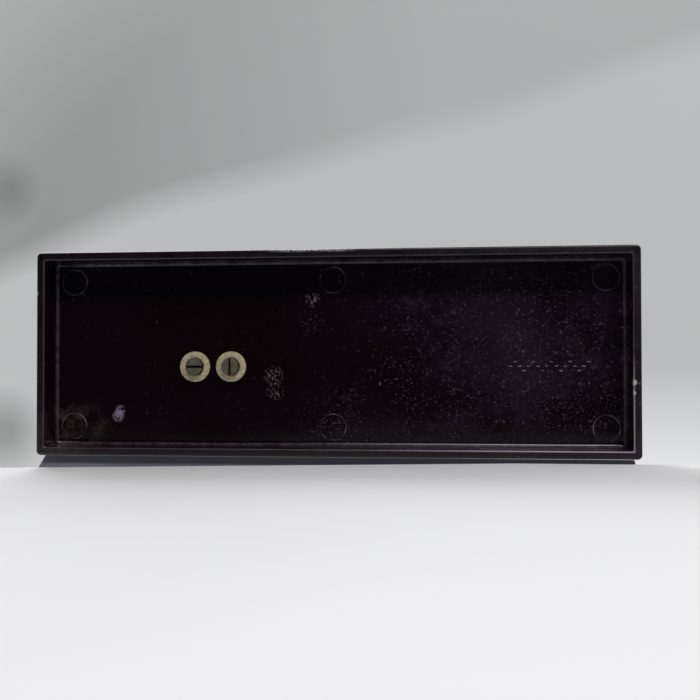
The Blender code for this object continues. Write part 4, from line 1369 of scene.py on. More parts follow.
@dataclass
class DrumCase(Assembly):
    """Lacquered drum on its foot, with brass bezel, domed glass and the ring between glass and dial."""

    radius: float = 45.0
    wall: float = 1.0
    front: float = -22.0
    back: float = 20.0
    bead: float = 0.45
    bead_y: Point = (16.9, 18.5)
    lip_radius: float = 40.5
    lip_y: Point = (-15.2, -14.4)
    bezel_radius: float = 46.5
    bezel_front: float = -26.8
    glass_radius: float = 40.2
    glass_seat: float = -25.2
    glass_apex: float = -29.3
    glass_thickness: float = 1.2
    flange_radius: float = 43.6
    foot_size: tuple[float, float] = (28.0, 24.0)
    foot_z: Point = (13.3, 21.3)
    foot_waist: float = 1.1
    gap: float = 0.3
    screw_y: float = 4.45
    hole_radius: float = 1.7
    button_hole: float = 3.1
    button_y: float = 5.0

    @staticmethod
    def bar(radius: float, heights: Point, place: Point) -> bpy.types.Object:
        """An upright cutter."""
        return Bench.turned("bar", Draw.rod(radius, *heights), Axis.HEIGHT, place, 48)

    def drum(self, screw_xs: Sequence[float]) -> None:
        """The drum with its rear bead, inner lip and holes.

        Args:
            screw_xs: Where the two base screws stand.
        """
        inner, proud = self.radius - self.wall, self.radius + self.bead
        start, end = self.bead_y
        profile = [(self.radius, self.front), (self.radius, start - 0.4), (proud, start), (proud, end),
                   (self.radius, end + 0.4), (self.radius, self.back), (inner, self.back),
                   (inner, self.lip_y[1]), (self.lip_radius, self.lip_y[1]),
                   (self.lip_radius, self.lip_y[0]), (inner, self.lip_y[0]), (inner, self.front)]
        drum = Bench.turned("drum_shell", Bench.rounded(profile, 0.35), steps=160, closed=True)
        cutters = [self.bar(self.hole_radius, (0.0, 30.0), (x, self.screw_y)) for x in screw_xs]
        top = (Bench.drum_z + 30.0, Bench.drum_z + 60.0)
        cutters.append(self.bar(self.button_hole, top, (Bench.drum_x, self.button_y)))
        self.dress(Bench.cut(drum, *cutters), Body.CASE, Slot.LACQUER, "drum_case")

    def foot(self, screw_xs: Sequence[float]) -> None:
        """The waisted saddle between plinth and drum.

        Args:
            screw_xs: Where the two base screws stand.
        """
        low, high = self.foot_z
        half_length, half_depth = self.foot_size[0] / 2, self.foot_size[1] / 2
        count = 14
        rings = []
        for i in range(count):
            share = i / (count - 1)
            waist = self.foot_waist * math.sin(math.pi * share) ** 2
            edge = 0.5 if i in (0, count - 1) else 0.0
            inset = waist + edge
            slab = Draw.slab(half_length - inset, half_depth - inset, 2.4)
            rings.append([(x, y, low + (high - low) * share) for x, y in slab])
        placing = Matrix.Scale(MM, 4) @ Matrix.Translation((Bench.drum_x, self.screw_y, 0.0))
        foot = Bench.loft("saddle_foot", rings, placing)
        reach = self.radius + self.gap
        bed = Bench.turned("bed", Draw.rod(reach, -40.0, 40.0), steps=160)
        cutters = [self.bar(self.hole_radius, (0.0, 30.0), (x, self.screw_y)) for x in screw_xs]
        self.dress(Bench.cut(foot, bed, *cutters), Body.CASE, Slot.LACQUER, "case_foot")

    def bezel(self) -> None:
        """The bezel, with a turned groove, and the ring behind the glass."""
        skirt = self.radius + self.gap
        rim = self.bezel_radius
        profile = [(43.0, self.bezel_front), (44.6, -26.6), (45.4, -25.9), (rim, -24.5), (rim, -23.1),
                   (rim - 0.4, -22.8), (rim - 0.4, -22.3), (rim, -22.0), (rim, -19.6), (skirt, -19.4),
                   (skirt, -25.5), (40.7, -25.5), (40.8, -26.2), (41.6, -26.6)]
        piece = Bench.turned("bezel_ring", Bench.rounded(profile, 0.4), steps=160, closed=True)
        self.dress(piece, Body.CASE, Slot.BRASS, "front_bezel")
        ring = [(43.6, -23.7), (43.6, -16.3), (40.2, -16.3), (40.5, -18.6), (41.1, -19.0), (41.4, -23.7)]
        piece = Bench.turned("dial_surround", Bench.rounded(ring, 0.3), steps=160, closed=True)
        self.dress(piece, Body.CASE, Slot.BRASS, "dial_ring")

    def glass(self) -> None:
        """The domed glass with its flat rim, which lets the lamps through to the dial."""
        rise = self.glass_seat - self.glass_apex
        sphere = (self.glass_radius ** 2 + rise ** 2) / (2 * rise)
        centre = self.glass_apex + sphere
        reach = math.asin(self.glass_radius / sphere)
        steps = 20
        outside, inside = [], []
        for i in range(steps + 1):
            angle = reach * i / steps
            thin = sphere - self.glass_thickness
            outside.append((sphere * math.sin(angle), centre - sphere * math.cos(angle)))
            inside.append((thin * math.sin(angle), centre - thin * math.cos(angle)))
        rim = [(self.flange_radius, self.glass_seat),
               (self.flange_radius, self.glass_seat + self.glass_thickness)]
        piece = Bench.turned("domed_glass", outside + rim + inside[::-1], steps=128)
        piece.visible_shadow = False
        self.dress(piece, Body.CASE, Slot.GLASS, "glass")

    def build(self, screw_xs: Sequence[float]) -> None:
        """Make and dress the case's pieces.

        Args:
            screw_xs: Where the two base screws stand.
        """
        self.drum(screw_xs)
        self.foot(screw_xs)
        self.bezel()
        self.glass()


@dataclass
class Dial(Assembly):
    """Cream dial with hour numbers, a minute track and a small alarm scale."""

    radius: float = 43.4
    face: float = -16.0
    back: float = -15.5
    hole: float = 4.2
    foot_radius: float = 1.2
    foot_circle: float = 30.0
    foot_end: float = -9.3
    number_radius: float = 30.0
    number_size: float = 8.2
    track: Point = (36.6, 38.9)
    scale: Point = (14.6, 16.0)
    ink: float = 0.05

    def plate(self) -> None:
        """The dial plate and its feet."""
        hole = Draw.circle(self.hole, 48)
        plate = Bench.flat("dial_plate", Draw.circle(self.radius, 160), (self.face, self.back), 0.05, [hole])
        feet = []
        for angle in (30.0, 150.0, 270.0):
            profile = Draw.rod(self.foot_radius, self.face + 0.2, self.foot_end)
            place = Draw.polar(self.foot_circle, angle)
            feet.append(Bench.turned("foot", profile, Axis.DEPTH, place, 16))
        self.dress(Bench.weld(plate, *feet), Body.CASE, Slot.CREAM, "dial")

    def number(self, hour: int) -> bpy.types.Object:
        """A printed hour number, upright in its place.

        Args:
            hour: 1 to 12.

        Returns:
            The number.
        """
        curve = bpy.data.curves.new("number", "FONT")
        curve.body = str(hour)
        curve.size = self.number_size
        curve.align_x = "CENTER"
        curve.align_y = "CENTER"
        curve.extrude = self.ink / 2
        curve.resolution_u = 6
        shape = Bench.drawn("number", curve)
        place = Draw.polar(self.number_radius, 90.0 - 30.0 * hour)
        middle = sum((v.co for v in shape.verts), Vector()) / len(shape.verts)
        lows = [min(v.co[k] for v in shape.verts) for k in range(2)]
        highs = [max(v.co[k] for v in shape.verts) for k in range(2)]
        shift = (-(lows[0] + highs[0]) / 2, -(lows[1] + highs[1]) / 2, self.face - 0.01 - middle.z)
        bmesh.ops.translate(shape, verts=shape.verts, vec=shift)
        return Bench.finish("number", shape, Bench.placing(Axis.DEPTH, place))

    @staticmethod
    def bar(angle: float, inner: float, outer: float, width: float) -> Outline:
        """A radial bar's outline."""
        return Draw.turned(Draw.box(inner, -width / 2, outer, width / 2), -angle)

    def ring(self, radius: float, width: float) -> bpy.types.Object:
        """A printed circle.

        Args:
            radius: Its inner radius.
            width: The line's width.

        Returns:
            The circle.
        """
        outer, low, high = radius + width, self.face + 0.01, self.face - self.ink / 2
        profile = [(outer, low), (outer, high), (radius, high), (radius, low)]
        return Bench.turned("circle", profile, steps=160, closed=True)

    def printing(self) -> None:
        """Numbers, minute track and alarm scale, as one printed layer."""
        parts = [self.number(hour) for hour in range(1, 13)]
        bars = []
        for minute in range(60):
            on_hour = minute % 5 == 0
            outer = self.track[1] + (0.9 if on_hour else 0.0)
            bars.append(self.bar(minute * 6.0, self.track[0], outer, 0.95 if on_hour else 0.30))
        for mark in range(48):
            inner = self.scale[0] - (0.9 if mark % 4 == 0 else 0.0)
            bars.append(self.bar(mark * 7.5, inner, self.scale[1], 0.34 if mark % 4 == 0 else 0.20))
        parts.append(Bench.prisms("bars", bars, (self.face - self.ink / 2, self.face + 0.01)))
        parts += [self.ring(self.track[1], 0.22), self.ring(self.track[0] - 0.22, 0.22),
                  self.ring(self.scale[1], 0.2)]
        self.dress(Bench.gather("dial_printing", parts), Body.CASE, Slot.HAND_BLACK)

    def build(self) -> None:
        """Make and dress the dial."""
        self.plate()
        self.printing()


@dataclass
class Hand(Assembly):
    """One hand: a leaf with a window, on a collet."""

    name: str
    body: Body
    slot: Slot
    span: Point
    bore: float
    boss: float
    rest: float
    leaf: Outline
    window: Outline
    capped: bool = False

    @staticmethod
    def mirrored(half: Outline) -> Outline:
        """A full outline from one of its sides.

        Args:
            half: (height, half width) from tail to tip.

        Returns:
            The outline.
        """
        right = [(w, z) for z, w in half]
        left = [(-w, z) for z, w in reversed(half) if w > 0.0]
        return right + left

    def build(self) -> None:
        """Make and dress the hand."""
        front, back = self.span
        outline = Draw.turned(Bench.rounded(self.mirrored(self.leaf), 1.6, steps=5), self.rest)
        window = Draw.turned(Bench.rounded(self.mirrored(self.window), 1.2, steps=5), self.rest)
        leaf = Bench.flat(self.name + "_leaf", outline, self.span, 0.12, [window])
        collar = [(self.boss, front - 0.15), (self.boss, back + 0.1), (self.bore, back + 0.1),
                  (self.bore, front - 0.15)]
        if self.capped:
            collar = [(0.0, front - 1.7), (1.5, front - 1.55), (2.5, front - 1.0), (2.8, front - 0.3),
                      (self.boss, front - 0.15), (self.boss, back + 0.1), (self.bore, back + 0.1),
                      (self.bore, front - 1.15), (0.0, front - 1.15)]
        ring = Bench.turned(self.name + "_collet", Bench.rounded(collar, 0.12, closed=not self.capped),
                            steps=64, closed=not self.capped)
        hole = Bench.turned("hole", Draw.rod(self.bore, front - 1.0, back + 1.0), steps=64)
        piece = Bench.weld(Bench.cut(leaf, hole), ring)
        self.dress(piece, self.body, self.slot, self.name)


class Hands:
    """The three hands, set at ten past ten with the alarm at seven."""

    @staticmethod
    def build() -> None:
        """Make and dress the hands."""
        Hand("minute_hand", Body.MINUTE, Slot.HAND_BLACK, (-20.0, -19.5), 1.9, 3.2, 60.0,
             [(-8.0, 1.15), (-5.0, 1.0), (0.0, 1.1), (8.0, 1.2), (20.0, 1.7), (28.0, 1.1), (33.5, 0.0)],
             [(11.0, 0.35), (20.0, 0.85), (26.0, 0.40)], capped=True).build()
        Hand("hour_hand", Body.HOUR, Slot.HAND_BLACK, (-18.6, -18.1), 2.9, 4.2, 305.0,
             [(-7.0, 1.4), (-4.0, 1.2), (0.0, 1.3), (8.5, 1.2), (13.5, 2.2), (17.5, 1.7), (23.0, 0.0)],
             [(10.5, 0.30), (13.5, 1.25), (17.0, 0.55)]).build()
        Hand("alarm_hand", Body.ALARM, Slot.HAND_RED, (-17.4, -16.9), 3.8, 5.0, 210.0,
             [(-5.0, 1.0), (0.0, 1.0), (11.5, 0.75), (15.0, 0.0)],
             [(7.0, 0.25), (9.0, 0.32), (10.5, 0.22)]).build()


@dataclass
class BackCover(Assembly):
    """Pressed back cover with its openings, plain arrows and speed marks, and its three screws."""

    radius: float = 43.7
    inner: float = 42.9
    skirt: float = 15.0
    sheet: Point = (19.2, 20.0)
    rib: Point = (37.9, 39.1)
    rib_height: float = 0.28
    time_barrel: Point = (14.9, -10.4)
    alarm_barrel: Point = (-18.5, -12.5)
    alarm_setting: Point = (14.83, 7.89)
    balance: Point = (17.0, 24.0)
    regulator_radius: float = 9.0
    post_circle: float = 33.0
    post_angles: tuple[float, ...] = (5.0, 125.0, 250.0)
    mark_height: float = 0.16
    arrow_radius: float = 6.6
    arrow_width: float = 0.7
    head_reach: float = 1.3
    tick_count: int = 7
    tick_pitch: float = 8.0
    tick_start: float = 11.2
    tick_end: float = 12.1
    sign_radius: float = 11.9
    sign_size: Point = (1.1, 0.22)

    def openings(self) -> list[Outline]:
        """Holes for the keys, the knobs and the screws, and the regulator's slot.

        Returns:
            The outline of each.
        """
        holes = [Draw.circle(3.0, 48, s) for s in (self.time_barrel, self.alarm_barrel)]
        holes.append(Draw.circle(2.2, 48, self.alarm_setting))
        holes.append(Draw.circle(2.1, 48))
        holes.append(Draw.slot(self.balance, self.regulator_radius, 90.0, 26.0, 1.3))
        holes += [Draw.circle(1.3, 32, Draw.polar(self.post_circle, a)) for a in self.post_angles]
        return holes

    def arrow(self, station: Point, start: float, end: float) -> list[Outline]:
        """A curved arrow round a key, as a row of short blocks and a head.

        Args:
            station: The key's axis.
            start: Angle of its tail in degrees.
            end: Angle where its head starts.

        Returns:
            The outlines of its blocks and its head.
        """
        radius, half, count = self.arrow_radius, self.arrow_width / 2, 20
        angles = [start + (end - start) * i / count for i in range(count + 1)]
        shapes = []
        for a, b in zip(angles, angles[1:]):
            inner, outer = radius - half, radius + half
            shapes.append([Draw.polar(inner, a), Draw.polar(outer, a), Draw.polar(outer, b),
                           Draw.polar(inner, b)])
        tip = Draw.polar(radius, end + math.copysign(16.0, end - start))
        barbs = [Draw.polar(radius + side * self.head_reach, end) for side in (-1, 1)]
        shapes.append([*barbs, tip])
        return [Draw.moved(shape, station) for shape in shapes]

    def speed_marks(self) -> list[Outline]:
        """Ticks along the regulator's slot, with a plus and a minus at its ends.

        Returns:
            The outlines of all of them.
        """
        shapes = []
        middle = self.tick_count // 2
        for i in range(self.tick_count):
            angle = 90.0 + (i - middle) * self.tick_pitch
            (ax, az), (bx, bz) = (Draw.polar(reach, angle) for reach in
                                  (self.tick_start, self.tick_end + (0.5 if i == middle else 0.0)))
            sx, sz = Draw.polar(0.16, angle + 90.0)
            shapes.append([(ax - sx, az - sz), (bx - sx, bz - sz), (bx + sx, bz + sz), (ax + sx, az + sz)])
        long, thin = self.sign_size
        plus, minus = (Draw.polar(self.sign_radius, angle) for angle in (122.0, 58.0))
        bar = Draw.box(-long, -thin, long, thin)
        upper, lower = Draw.box(-thin, thin, thin, long), Draw.box(-thin, -long, thin, -thin)
        shapes += [Draw.moved(shape, plus) for shape in (bar, upper, lower)] + [Draw.moved(bar, minus)]
        return [Draw.moved(shape, self.balance) for shape in shapes]

    def screw(self, number: int, angle: float) -> None:
        """One cover screw.

        Args:
            number: Its number, from 1.
            angle: Where it stands, in degrees.
        """
        face = self.sheet[1]
        profile = [(0.0, 15.6), (0.8, 15.6), (1.0, 16.0), (1.0, face + 0.3), (2.4, face + 0.3),
                   (2.4, face + 1.0), (1.9, face + 1.5), (0.0, face + 1.5)]
        place = Draw.polar(self.post_circle, angle)
        piece = Bench.turned("cover_screw_%d" % number, Bench.rounded(profile, 0.18, closed=False),
                             Axis.DEPTH, place, 64)
        slot = Bench.prisms("slot", [Draw.box(-3.0, -0.4, 3.0, 0.4)], (face + 0.9, face + 2.0), place)
        self.dress(Bench.cut(piece, slot), Body.CASE, Slot.STEEL, "back_cover_screw_%d" % number)

    def build(self) -> None:
        """Make and dress the cover, its marks and its screws."""
        front, back = self.sheet
        rib = back + self.rib_height
        low, high = self.rib
        profile = [(0.0, front), (self.inner, front), (self.inner, self.skirt), (self.radius, self.skirt),
                   (self.radius, back - 0.5), (self.radius - 0.6, back), (high + 0.4, back), (high, rib),
                   (low, rib), (low - 0.4, back), (0.0, back)]
        cover = Bench.turned("rear_cover", Bench.rounded(profile, 0.3, closed=False), steps=160)
        cutters = [Bench.prisms("opening", [o], (front - 1.0, back + 1.0)) for o in self.openings()]
        cover = Bench.cut(cover, *cutters)
        brushed = Metal("brushed_brass", (0.66, 0.47, 0.21), (0.50, 0.34, 0.14), (0.33, 0.46), 90.0, 0.56,
                        (2200.0, 2200.0, 60.0), 0.010).build()
        self.dress(cover, Body.CASE, Slot.BRASS, "back_cover", finish=brushed)
        shapes = self.arrow(self.time_barrel, 215.0, 330.0) + self.arrow(self.alarm_barrel, 215.0, 330.0)
        shapes += self.speed_marks()
        marks = Bench.prisms("cover_marks", shapes, (back - 0.05, back + self.mark_height))
        self.dress(marks, Body.CASE, Slot.HAND_BLACK)
        for number, angle in enumerate(self.post_angles, 1):
            self.screw(number, angle)


@dataclass
class Controls(Assembly):
    """Butterfly keys and fluted knobs behind the cover."""

    hub_y: Point = (21.0, 31.4)
    hub_radius: float = 3.2
    wing_radius: float = 4.8
    wing_hole: float = 2.2
    wing_reach: float = 7.2
    wing_y: float = 28.2
    wing_thickness: float = 1.6
    bore: float = 2.0
    bore_end: float = 30.3

    def key(self, node: str, body: Body, station: Point, turn: float) -> None:
        """A key: a turned hub with two round wings.

        Args:
            node: The frame's key.
            body: The arbor's body.
            station: Where its axis stands.
            turn: The angle that its wings lie along.
        """
        low, high = self.hub_y
        hub = [(0.0, low), (self.hub_radius, low), (self.hub_radius, low + 1.2), (2.7, low + 1.8),
               (2.7, low + 3.0), (3.4, low + 3.8), (3.4, high - 0.8), (2.4, high), (0.0, high)]
        piece = Bench.turned(node.replace("_key", "_winding_key"), Bench.rounded(hub, 0.5, closed=False),
                             Axis.DEPTH, station, 64)
        c, s = math.cos(math.radians(turn)), math.sin(math.radians(turn))
        wings = []
        for side in (-1, 1):
            centre = (Bench.drum_x + station[0] + side * self.wing_reach * c, self.wing_y,
                      Bench.drum_z + station[1] + side * self.wing_reach * s)
            plane = Matrix(((c, 0, -s, centre[0]), (0, 1, 0, centre[1]), (s, 0, c, centre[2]), (0, 0, 0, 1)))
            half = self.wing_thickness / 2
            wings.append(Bench.flat("wing", Draw.circle(self.wing_radius, 56), (-half, half), 0.5,
                                    [Draw.circle(self.wing_hole, 40)], placing=Matrix.Scale(MM, 4) @ plane))
        piece = Bench.weld(piece, *wings)
        bore = Bench.turned("bore", Draw.rod(self.bore, low - 1.0, self.bore_end), Axis.DEPTH, station, 48)
        piece = Bench.cut(piece, bore)
        self.dress(piece, body, Slot.BRASS, node)

    def knob(self, node: str, body: Body, station: Point, radius: float, span: Point, bore: float,
             flutes: int) -> None:
        """A knob with a fluted rim and a dished back.

        Args:
            node: The frame's knob.
            body: The arbor's body.
            station: Where its axis stands.
            radius: Its outer radius.
            span: Where it starts and ends.
            bore: Radius of the hole that takes the arbor.
            flutes: Number of flutes.
        """
        low, high = span
        profile = [(0.0, 24.3), (bore, 24.3), (bore, low), (radius - 1.2, low), (radius - 0.9, low + 0.9),
                   (radius, low + 1.2), (radius, high - 0.7), (radius - 0.7, high), (radius - 1.7, high),
                   (radius - 2.0, high - 0.35), (0.0, high - 0.35)]
        piece = Bench.turned(node.replace("_knob", "_fluted_knob"),
                             Bench.rounded(profile, 0.25, closed=False), Axis.DEPTH, station, flutes * 8,
                             swell=lambda r, a: -0.13 * (1 - math.cos(flutes * a)) * (r > radius - 0.35))
        self.dress(piece, body, Slot.BRASS, node)

    def build(self, cover: BackCover) -> None:
        """Make and dress the keys and knobs.

        Args:
            cover: The back cover, whose openings say where they stand.
        """
        self.key("time_key", Body.TIME_WINDING, cover.time_barrel, 35.0)
        self.key("alarm_key", Body.ALARM_WINDING, cover.alarm_barrel, -25.0)
        self.knob("hand_set_knob", Body.MINUTE, (0.0, 0.0), 4.5, (20.8, 27.2), 1.3, 28)
        self.knob("alarm_set_knob", Body.SETTER, cover.alarm_setting, 3.8, (20.8, 26.4), 1.5, 24)


@dataclass
class StopButton(Assembly):
    """Sprung stop button on top of the drum, its bush and its spring. Heights are from the drum's axis."""

    y: float = 5.0
    cap_radius: float = 5.2
    cap: Point = (50.2, 53.6)
    well: Point = (4.0, 52.0)
    stem_radius: float = 1.5
    stem_end: float = 37.4
    collar: tuple[float, float, float] = (2.3, 40.6, 41.6)
    bush_radius: float = 2.8
    bush: Point = (42.2, 46.3)
    flange: Point = (4.2, 45.4)
    bush_bore: float = 1.8
    coil_radius: float = 2.9
    wire_radius: float = 0.25
    coil: Point = (46.9, 51.5)
    turns: float = 4.5
    travel: float = 3.0

    @staticmethod
    def lifted(profile: Outline) -> Outline:
        """A profile moved up to the drum's axis."""
        return [(r, z + Bench.drum_z) for r, z in profile]

    def spring(self) -> None:
        """The coil spring with its ends closed."""
        low, high = self.coil
        around, sides = 28, 10
        count = int(self.turns * around)
        rings = []
        for i in range(count + 1):
            share = i / count
            rise = min(max((share * self.turns - 0.6) / (self.turns - 1.2), 0.0), 1.0)
            angle = 2 * math.pi * share * self.turns
            ring = []
            for k in range(sides):
                lean = 2 * math.pi * k / sides
                reach = self.coil_radius + self.wire_radius * math.cos(lean)
                height = low + (high - low) * rise + self.wire_radius * math.sin(lean) + Bench.drum_z
                ring.append((reach * math.cos(angle), reach * math.sin(angle), height))
            rings.append(ring)
        spring = Bench.loft("button_spring", rings, Bench.placing(Axis.HEIGHT, (Bench.drum_x, self.y)))
        self.dress(spring, Body.CASE, Slot.STEEL, "stop_button_spring")
        height = high - low + 2 * self.wire_radius
        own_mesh(spring)

    def build(self) -> None:
        """Make and dress the button, the bush and the spring."""
        place = (Bench.drum_x, self.y)
        low, high = self.cap
        stem = self.stem_radius
        wide, foot, head = self.collar
        profile = [(0.0, self.stem_end), (stem, self.stem_end), (stem, foot), (wide, foot), (wide, head),
                   (stem, head), (stem, self.well[1]), self.well,
                   (self.well[0], low), (self.cap_radius, low), (self.cap_radius, high - 1.1),
                   (self.cap_radius - 0.7, high - 0.4), (2.4, high - 0.05), (0.0, high)]
        piece = Bench.turned("stop_push", Bench.rounded(self.lifted(profile), 0.3, closed=False), Axis.HEIGHT,
                             place, 36 * 8,
                             swell=lambda r, a: -0.07 * (1 - math.cos(36 * a)) * (r > self.cap_radius - 0.05))
        self.dress(piece, Body.BUTTON, Slot.BRASS, "stop_button")
        bottom, top = self.bush
        profile = [(self.bush_radius, bottom), (self.bush_radius, self.flange[1]),
                   (self.flange[0], self.flange[1]), (self.flange[0], top - 0.3),
                   (self.flange[0] - 0.8, top), (self.bush_bore, top), (self.bush_bore, bottom)]
        piece = Bench.turned("button_bush", Bench.rounded(self.lifted(profile), 0.2), Axis.HEIGHT, place, 72,
                             closed=True)
        self.dress(piece, Body.CASE, Slot.BRASS, "stop_button_bush")
        self.spring()


class Movement:
    """The frame's own plates, wheels, levers and springs, which keep their shapes and get finishes."""

    @staticmethod
    def build(loaded: dict) -> None:
        """Dress every node that no piece stands for.
        """
        slots = {part["node"]: part["material_slot"] for part in loaded["record"]["subparts"]}
        for name, node in loaded["nodes"].items():
            if node.hide_render:
                continue
            node.data.materials.clear()
            node.data.materials.append(Finishes.get(Slot(slots[name])))
            LOG.info("Movement: %s in %s", name, slots[name])


# ---------------------------------------------------------------- stage


@dataclass
class Stage:
    """Pale cloth behind the clock, a pale floor under it, soft light and the camera."""

    cloth_y: float = 34.4
    cloth_gap: float = 2.6
    cloth_reach: float = 900.0
    fade: Point = (0.6, 2.4)
    camera_place: tuple[float, float, float] = (0.03541, 0.00418, -0.29319)
    camera_right: tuple[float, float, float] = (0.99528, 0.00149, 0.09701)
    camera_up: tuple[float, float, float] = (0.00318, -0.99985, -0.01721)
    camera_back: tuple[float, float, float] = (0.09697, 0.01744, -0.99513)
    lens: float = 46.29
    sensor: float = 36.0

    def drape(self, x: float, z: float) -> float:
        """How far back the cloth's surface lies at a place, in millimetres.

        Args:
            x: Place across.
            z: Place upright.

        Returns:
            The place along Y.
        """
        near = math.exp(-((z / 70.0) ** 2))
        gap = self.cloth_gap * min(max((60.0 - x) / 150.0, 0.0), 1.2)
        fold = 1.6 * math.sin(x / 61.0 + 0.6) * math.sin(z / 83.0) + 0.9 * math.sin((x + z) / 37.0)
        return self.cloth_y + 1.2 + gap * near + fold * (1.0 - near)

    def cloth(self, name: str, start: float, end: float, rows: int) -> bpy.types.Object:
        """A part of the cloth that the clock's back lies on, under the floor and out of a standing view.

        Args:
            name: Its name.
            start: Where it starts below the floor.
            end: Where it ends below the floor.
            rows: Number of rows of faces.

        Returns:
            The cloth.
        """
        shape = bmesh.new()
        across = 120
        grid = []
        for k in range(rows + 1):
            z = -(start + (end - start) * k / rows)
            places = [self.cloth_reach * (2.0 * i / across - 1.0) for i in range(across + 1)]
            grid.append([shape.verts.new((x, self.drape(x, z), z)) for x in places])
        for first, second in zip(grid, grid[1:]):
            for i in range(across):
                shape.faces.new((first[i], first[i + 1], second[i + 1], second[i]))
        cloth = Bench.finish(name, shape, Matrix.Scale(MM, 4))
        cloth.data.materials.append(StageCloth().build())
        return cloth

    def one_sided(self, tree: Tree) -> None:
        """Let a material be seen from its faces' front only, and fade out far away.

        Args:
            tree: The material's tree.
        """
        side = tree.nodes.new("ShaderNodeNewGeometry")
        clear = tree.nodes.new("ShaderNodeBsdfTransparent")
        either = tree.nodes.new("ShaderNodeMixShader")
        away = tree.away(tree.coordinate("X"), tree.coordinate("Y"))
        faded = tree.remap(away, self.fade[0], self.fade[1])
        tree.links.new(tree.most(side.outputs["Backfacing"], faded), either.inputs["Fac"])
        tree.links.new(tree.shader.outputs["BSDF"], either.inputs[1])
        tree.links.new(clear.outputs["BSDF"], either.inputs[2])
        tree.links.new(either.outputs["Shader"], tree.nodes["Material Output"].inputs["Surface"])

    def sheet(self, name: str, corners: Sequence[Sequence[float]], tree: Tree) -> None:
        """A one-sided sheet that only the camera sees.

        Args:
            name: Its name.
            corners: Its corners, in metres.
            tree: Its material's tree.
        """
        shape = bmesh.new()
        shape.faces.new([shape.verts.new(corner) for corner in corners])
        mesh = bpy.data.meshes.new(name)
        shape.to_mesh(mesh)
        shape.free()
        sheet = Bench.linked(name, mesh)
        self.one_sided(tree)
        mesh.materials.append(tree.material)
        sheet.visible_shadow = False
        sheet.visible_glossy = False
        sheet.visible_diffuse = False
        sheet.visible_transmission = False

    def shade(self) -> None:
        """A dark sheet with a faint painted glow, standing for painted shade in the gap between the clock's
        back and the cloth, seen from below only.
        """
        tree = Tree("shaded_gap")
        soft = tree.remap(tree.noise(30.0, 2.0), 0.35, 0.65)
        # Painted shade: dark grey colour with a faint emission glow.
        tree.set(base_color=tree.mix(soft, (0.170, 0.175, 0.205), (0.110, 0.113, 0.135)), roughness=0.9,
                 specular_ior_level=0.0, emission_color=(0.020, 0.021, 0.026), emission_strength=1.0)
        low, high = (0.0385, -0.0002), (0.0344, 0.0060)
        self.sheet("gap", [(-0.099, *low), (0.0985, *low), (0.0985, *high), (-0.099, *high)], tree)

    def floor(self) -> None:
        """The floor that the clock stands on, seen only from above."""
        tree = Tree("pale_floor")
        soft = tree.remap(tree.noise(3.0, 2.0), 0.35, 0.65)
        tree.set(base_color=tree.mix(soft, (0.72, 0.72, 0.73), (0.66, 0.66, 0.67)), roughness=0.75)
        reach = 4.0
        corners = [(-reach, -reach), (reach, -reach), (reach, reach), (-reach, reach)]
        self.sheet("floor", [(x, y, 0.0) for x, y in corners], tree)

    @staticmethod
    def world() -> None:
        """A pale room above the horizon and a dark one straight below; overhead, a soft fold painted as a
        shaded side and a lit band, and painted soft shadows beside the clock.
        """
        world = bpy.data.worlds.new("studio")
        world.use_nodes = True
        bpy.context.scene.world = world
        sky = Sky(world.node_tree)
        height = sky.coordinate("Z")
        ramp = sky.nodes.new("ShaderNodeValToRGB")
        sky.links.new(sky.remap(height, -1.0, 1.0), ramp.inputs["Fac"])
        stops = ramp.color_ramp.elements
        stops[0].position, stops[0].color = 0.0, (0.003, 0.0025, 0.003, 1.0)
        stops[1].position, stops[1].color = 1.0, (0.485, 0.49, 0.495, 1.0)
        for spot, value in ((0.30, 0.006), (0.44, 0.30), (0.49, 0.56), (0.52, 0.60), (0.75, 0.60)):
            stop = stops.new(spot)
            stop.color = (value, value, value * 1.01, 1.0)
        across, along = (sky.plain("DIVIDE", sky.coordinate(axis), height) for axis in "XY")
        overhead = sky.remap(height, 0.78, 0.90)
        fold = sky.plain("ADD", sky.plain("MULTIPLY", across, 0.2893), sky.plain("MULTIPLY", along, 0.9572))
        wave = sky.remap(sky.noise(2.2, 1.0), 0.3, 0.7, -0.02, 0.02)
        fold = sky.plain("ADD", fold, wave)
        # Painted shade on the dark side of the fold, stronger towards -X.
        dark = sky.times(sky.remap(fold, -0.235, -0.275),
                        sky.remap(across, -0.50, 0.00, 1.0, 0.36))
        # Painted light: a brighter band towards +Y, strongest towards +X.
        bright = sky.times(sky.remap(along, 0.0, 0.115),
                          sky.remap(across, -0.35, 0.22, 0.12, 1.0))
        # Painted shadows: two soft dark patches on the backdrop beside the clock.
        painted_shadows = 0.0
        for place, size, strength in (((-0.500, 0.075), 0.055, 1.0), ((-0.500, -0.205), 0.045, 0.45)):
            parts = [sky.plain("SUBTRACT", part, centre)
                     for part, centre in zip((across, along), place)]
            painted_shadows = sky.plus(sky.remap(sky.away(*parts), 0.2 * size, size, strength, 0.0), painted_shadows)
        tone = sky.plain("ADD", 1.0, sky.times(bright, 0.60))
        tone = sky.plain("SUBTRACT", tone, sky.times(dark, 0.45))
        tone = sky.plain("SUBTRACT", tone, sky.times(painted_shadows, 0.45))
        tone = sky.plain("SUBTRACT", tone, 1.0)
        tone = sky.plain("MULTIPLY", tone, overhead)
        background = sky.nodes["Background"]
        sky.links.new(ramp.outputs["Color"], background.inputs["Color"])
        sky.links.new(sky.plain("ADD", tone, 1.0), background.inputs["Strength"])

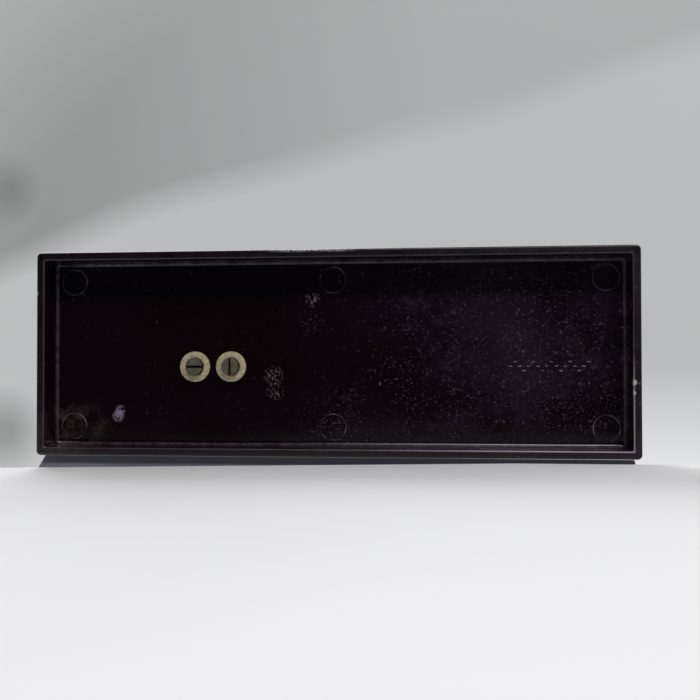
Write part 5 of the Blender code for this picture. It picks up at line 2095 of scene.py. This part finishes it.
    @staticmethod
    def lamp(name: str, place: Sequence[float], aim: Sequence[float], size: Point, power: float,
             only: Sequence[bpy.types.Object] = ()) -> None:
        """A soft area lamp that the camera doesn't see.

        Args:
            name: The lamp's name.
            place: Where it is, in metres.
            aim: What it points at, in metres.
            size: Its width and height, in metres.
            power: Its power in watts.
            only: The only objects it lights, or none for all.
        """
        light = bpy.data.lights.new(name, "AREA")
        light.shape = "RECTANGLE"
        light.size, light.size_y = size
        light.energy = power
        lamp = Bench.linked(name, light)
        look = Vector(aim) - Vector(place)
        lamp.matrix_world = Matrix.Translation(place) @ look.to_track_quat("-Z", "Y").to_matrix().to_4x4()
        lamp.visible_camera = False
        if only:
            lit = bpy.data.collections.new(name + "_lights")
            for item in only:
                lit.objects.link(item)
            lamp.light_linking.receiver_collection = lit

    def camera(self) -> None:
        """The camera that looks into the plinth from below."""
        data = bpy.data.cameras.new("camera")
        data.lens = self.lens
        data.sensor_width = self.sensor
        data.clip_start = 0.01
        data.clip_end = 30.0
        camera = Bench.linked("camera", data)
        columns = zip(self.camera_right, self.camera_up, self.camera_back, self.camera_place)
        camera.matrix_world = Matrix([list(row) for row in columns] + [[0, 0, 0, 1]])
        bpy.context.scene.camera = camera

    def build(self) -> None:
        """Set the stage."""
        near = self.cloth("cloth_near", 0.3, 46.0, 8)
        far = self.cloth("cloth_far", 46.0, 900.0, 60)
        far.visible_glossy = False
        self.shade()
        self.floor()
        self.world()
        self.camera()
        names = ("plinth_moulding", "screw_left", "screw_right", "washer_left", "washer_right")
        lit = [bpy.data.objects[name] for name in (*names, "gap")] + [near, far]
        self.lamp("key_from_above", (0.22, -0.80, -0.52), (0.0, 0.0, 0.0), (0.55, 0.40), 5.0, lit)
        self.lamp("overhead", (-0.45, -0.75, 0.85), (-0.03, 0.0, 0.05), (0.8, 0.8), 10.0)
        self.lamp("behind", (0.55, 0.80, 0.75), (-0.03, 0.0, 0.05), (0.8, 0.8), 8.0)
        bpy.context.scene.view_settings.view_transform = "Standard"


def main() -> None:
    """Build the clock's looks and its stage."""
    logging.basicConfig(level=logging.INFO, format="%(message)s")
    Bench.measure()
    screw_xs = BaseFasteners().build()
    Plinth().build(screw_xs)
    DrumCase().build(screw_xs)
    Dial().build()
    Hands().build()
    cover = BackCover()
    cover.build()
    Controls().build(cover)
    StopButton().build()
    Movement().build(frame)
    Stage().build()
    LOG.info("Size written")


if __name__ == "__main__":
    main()
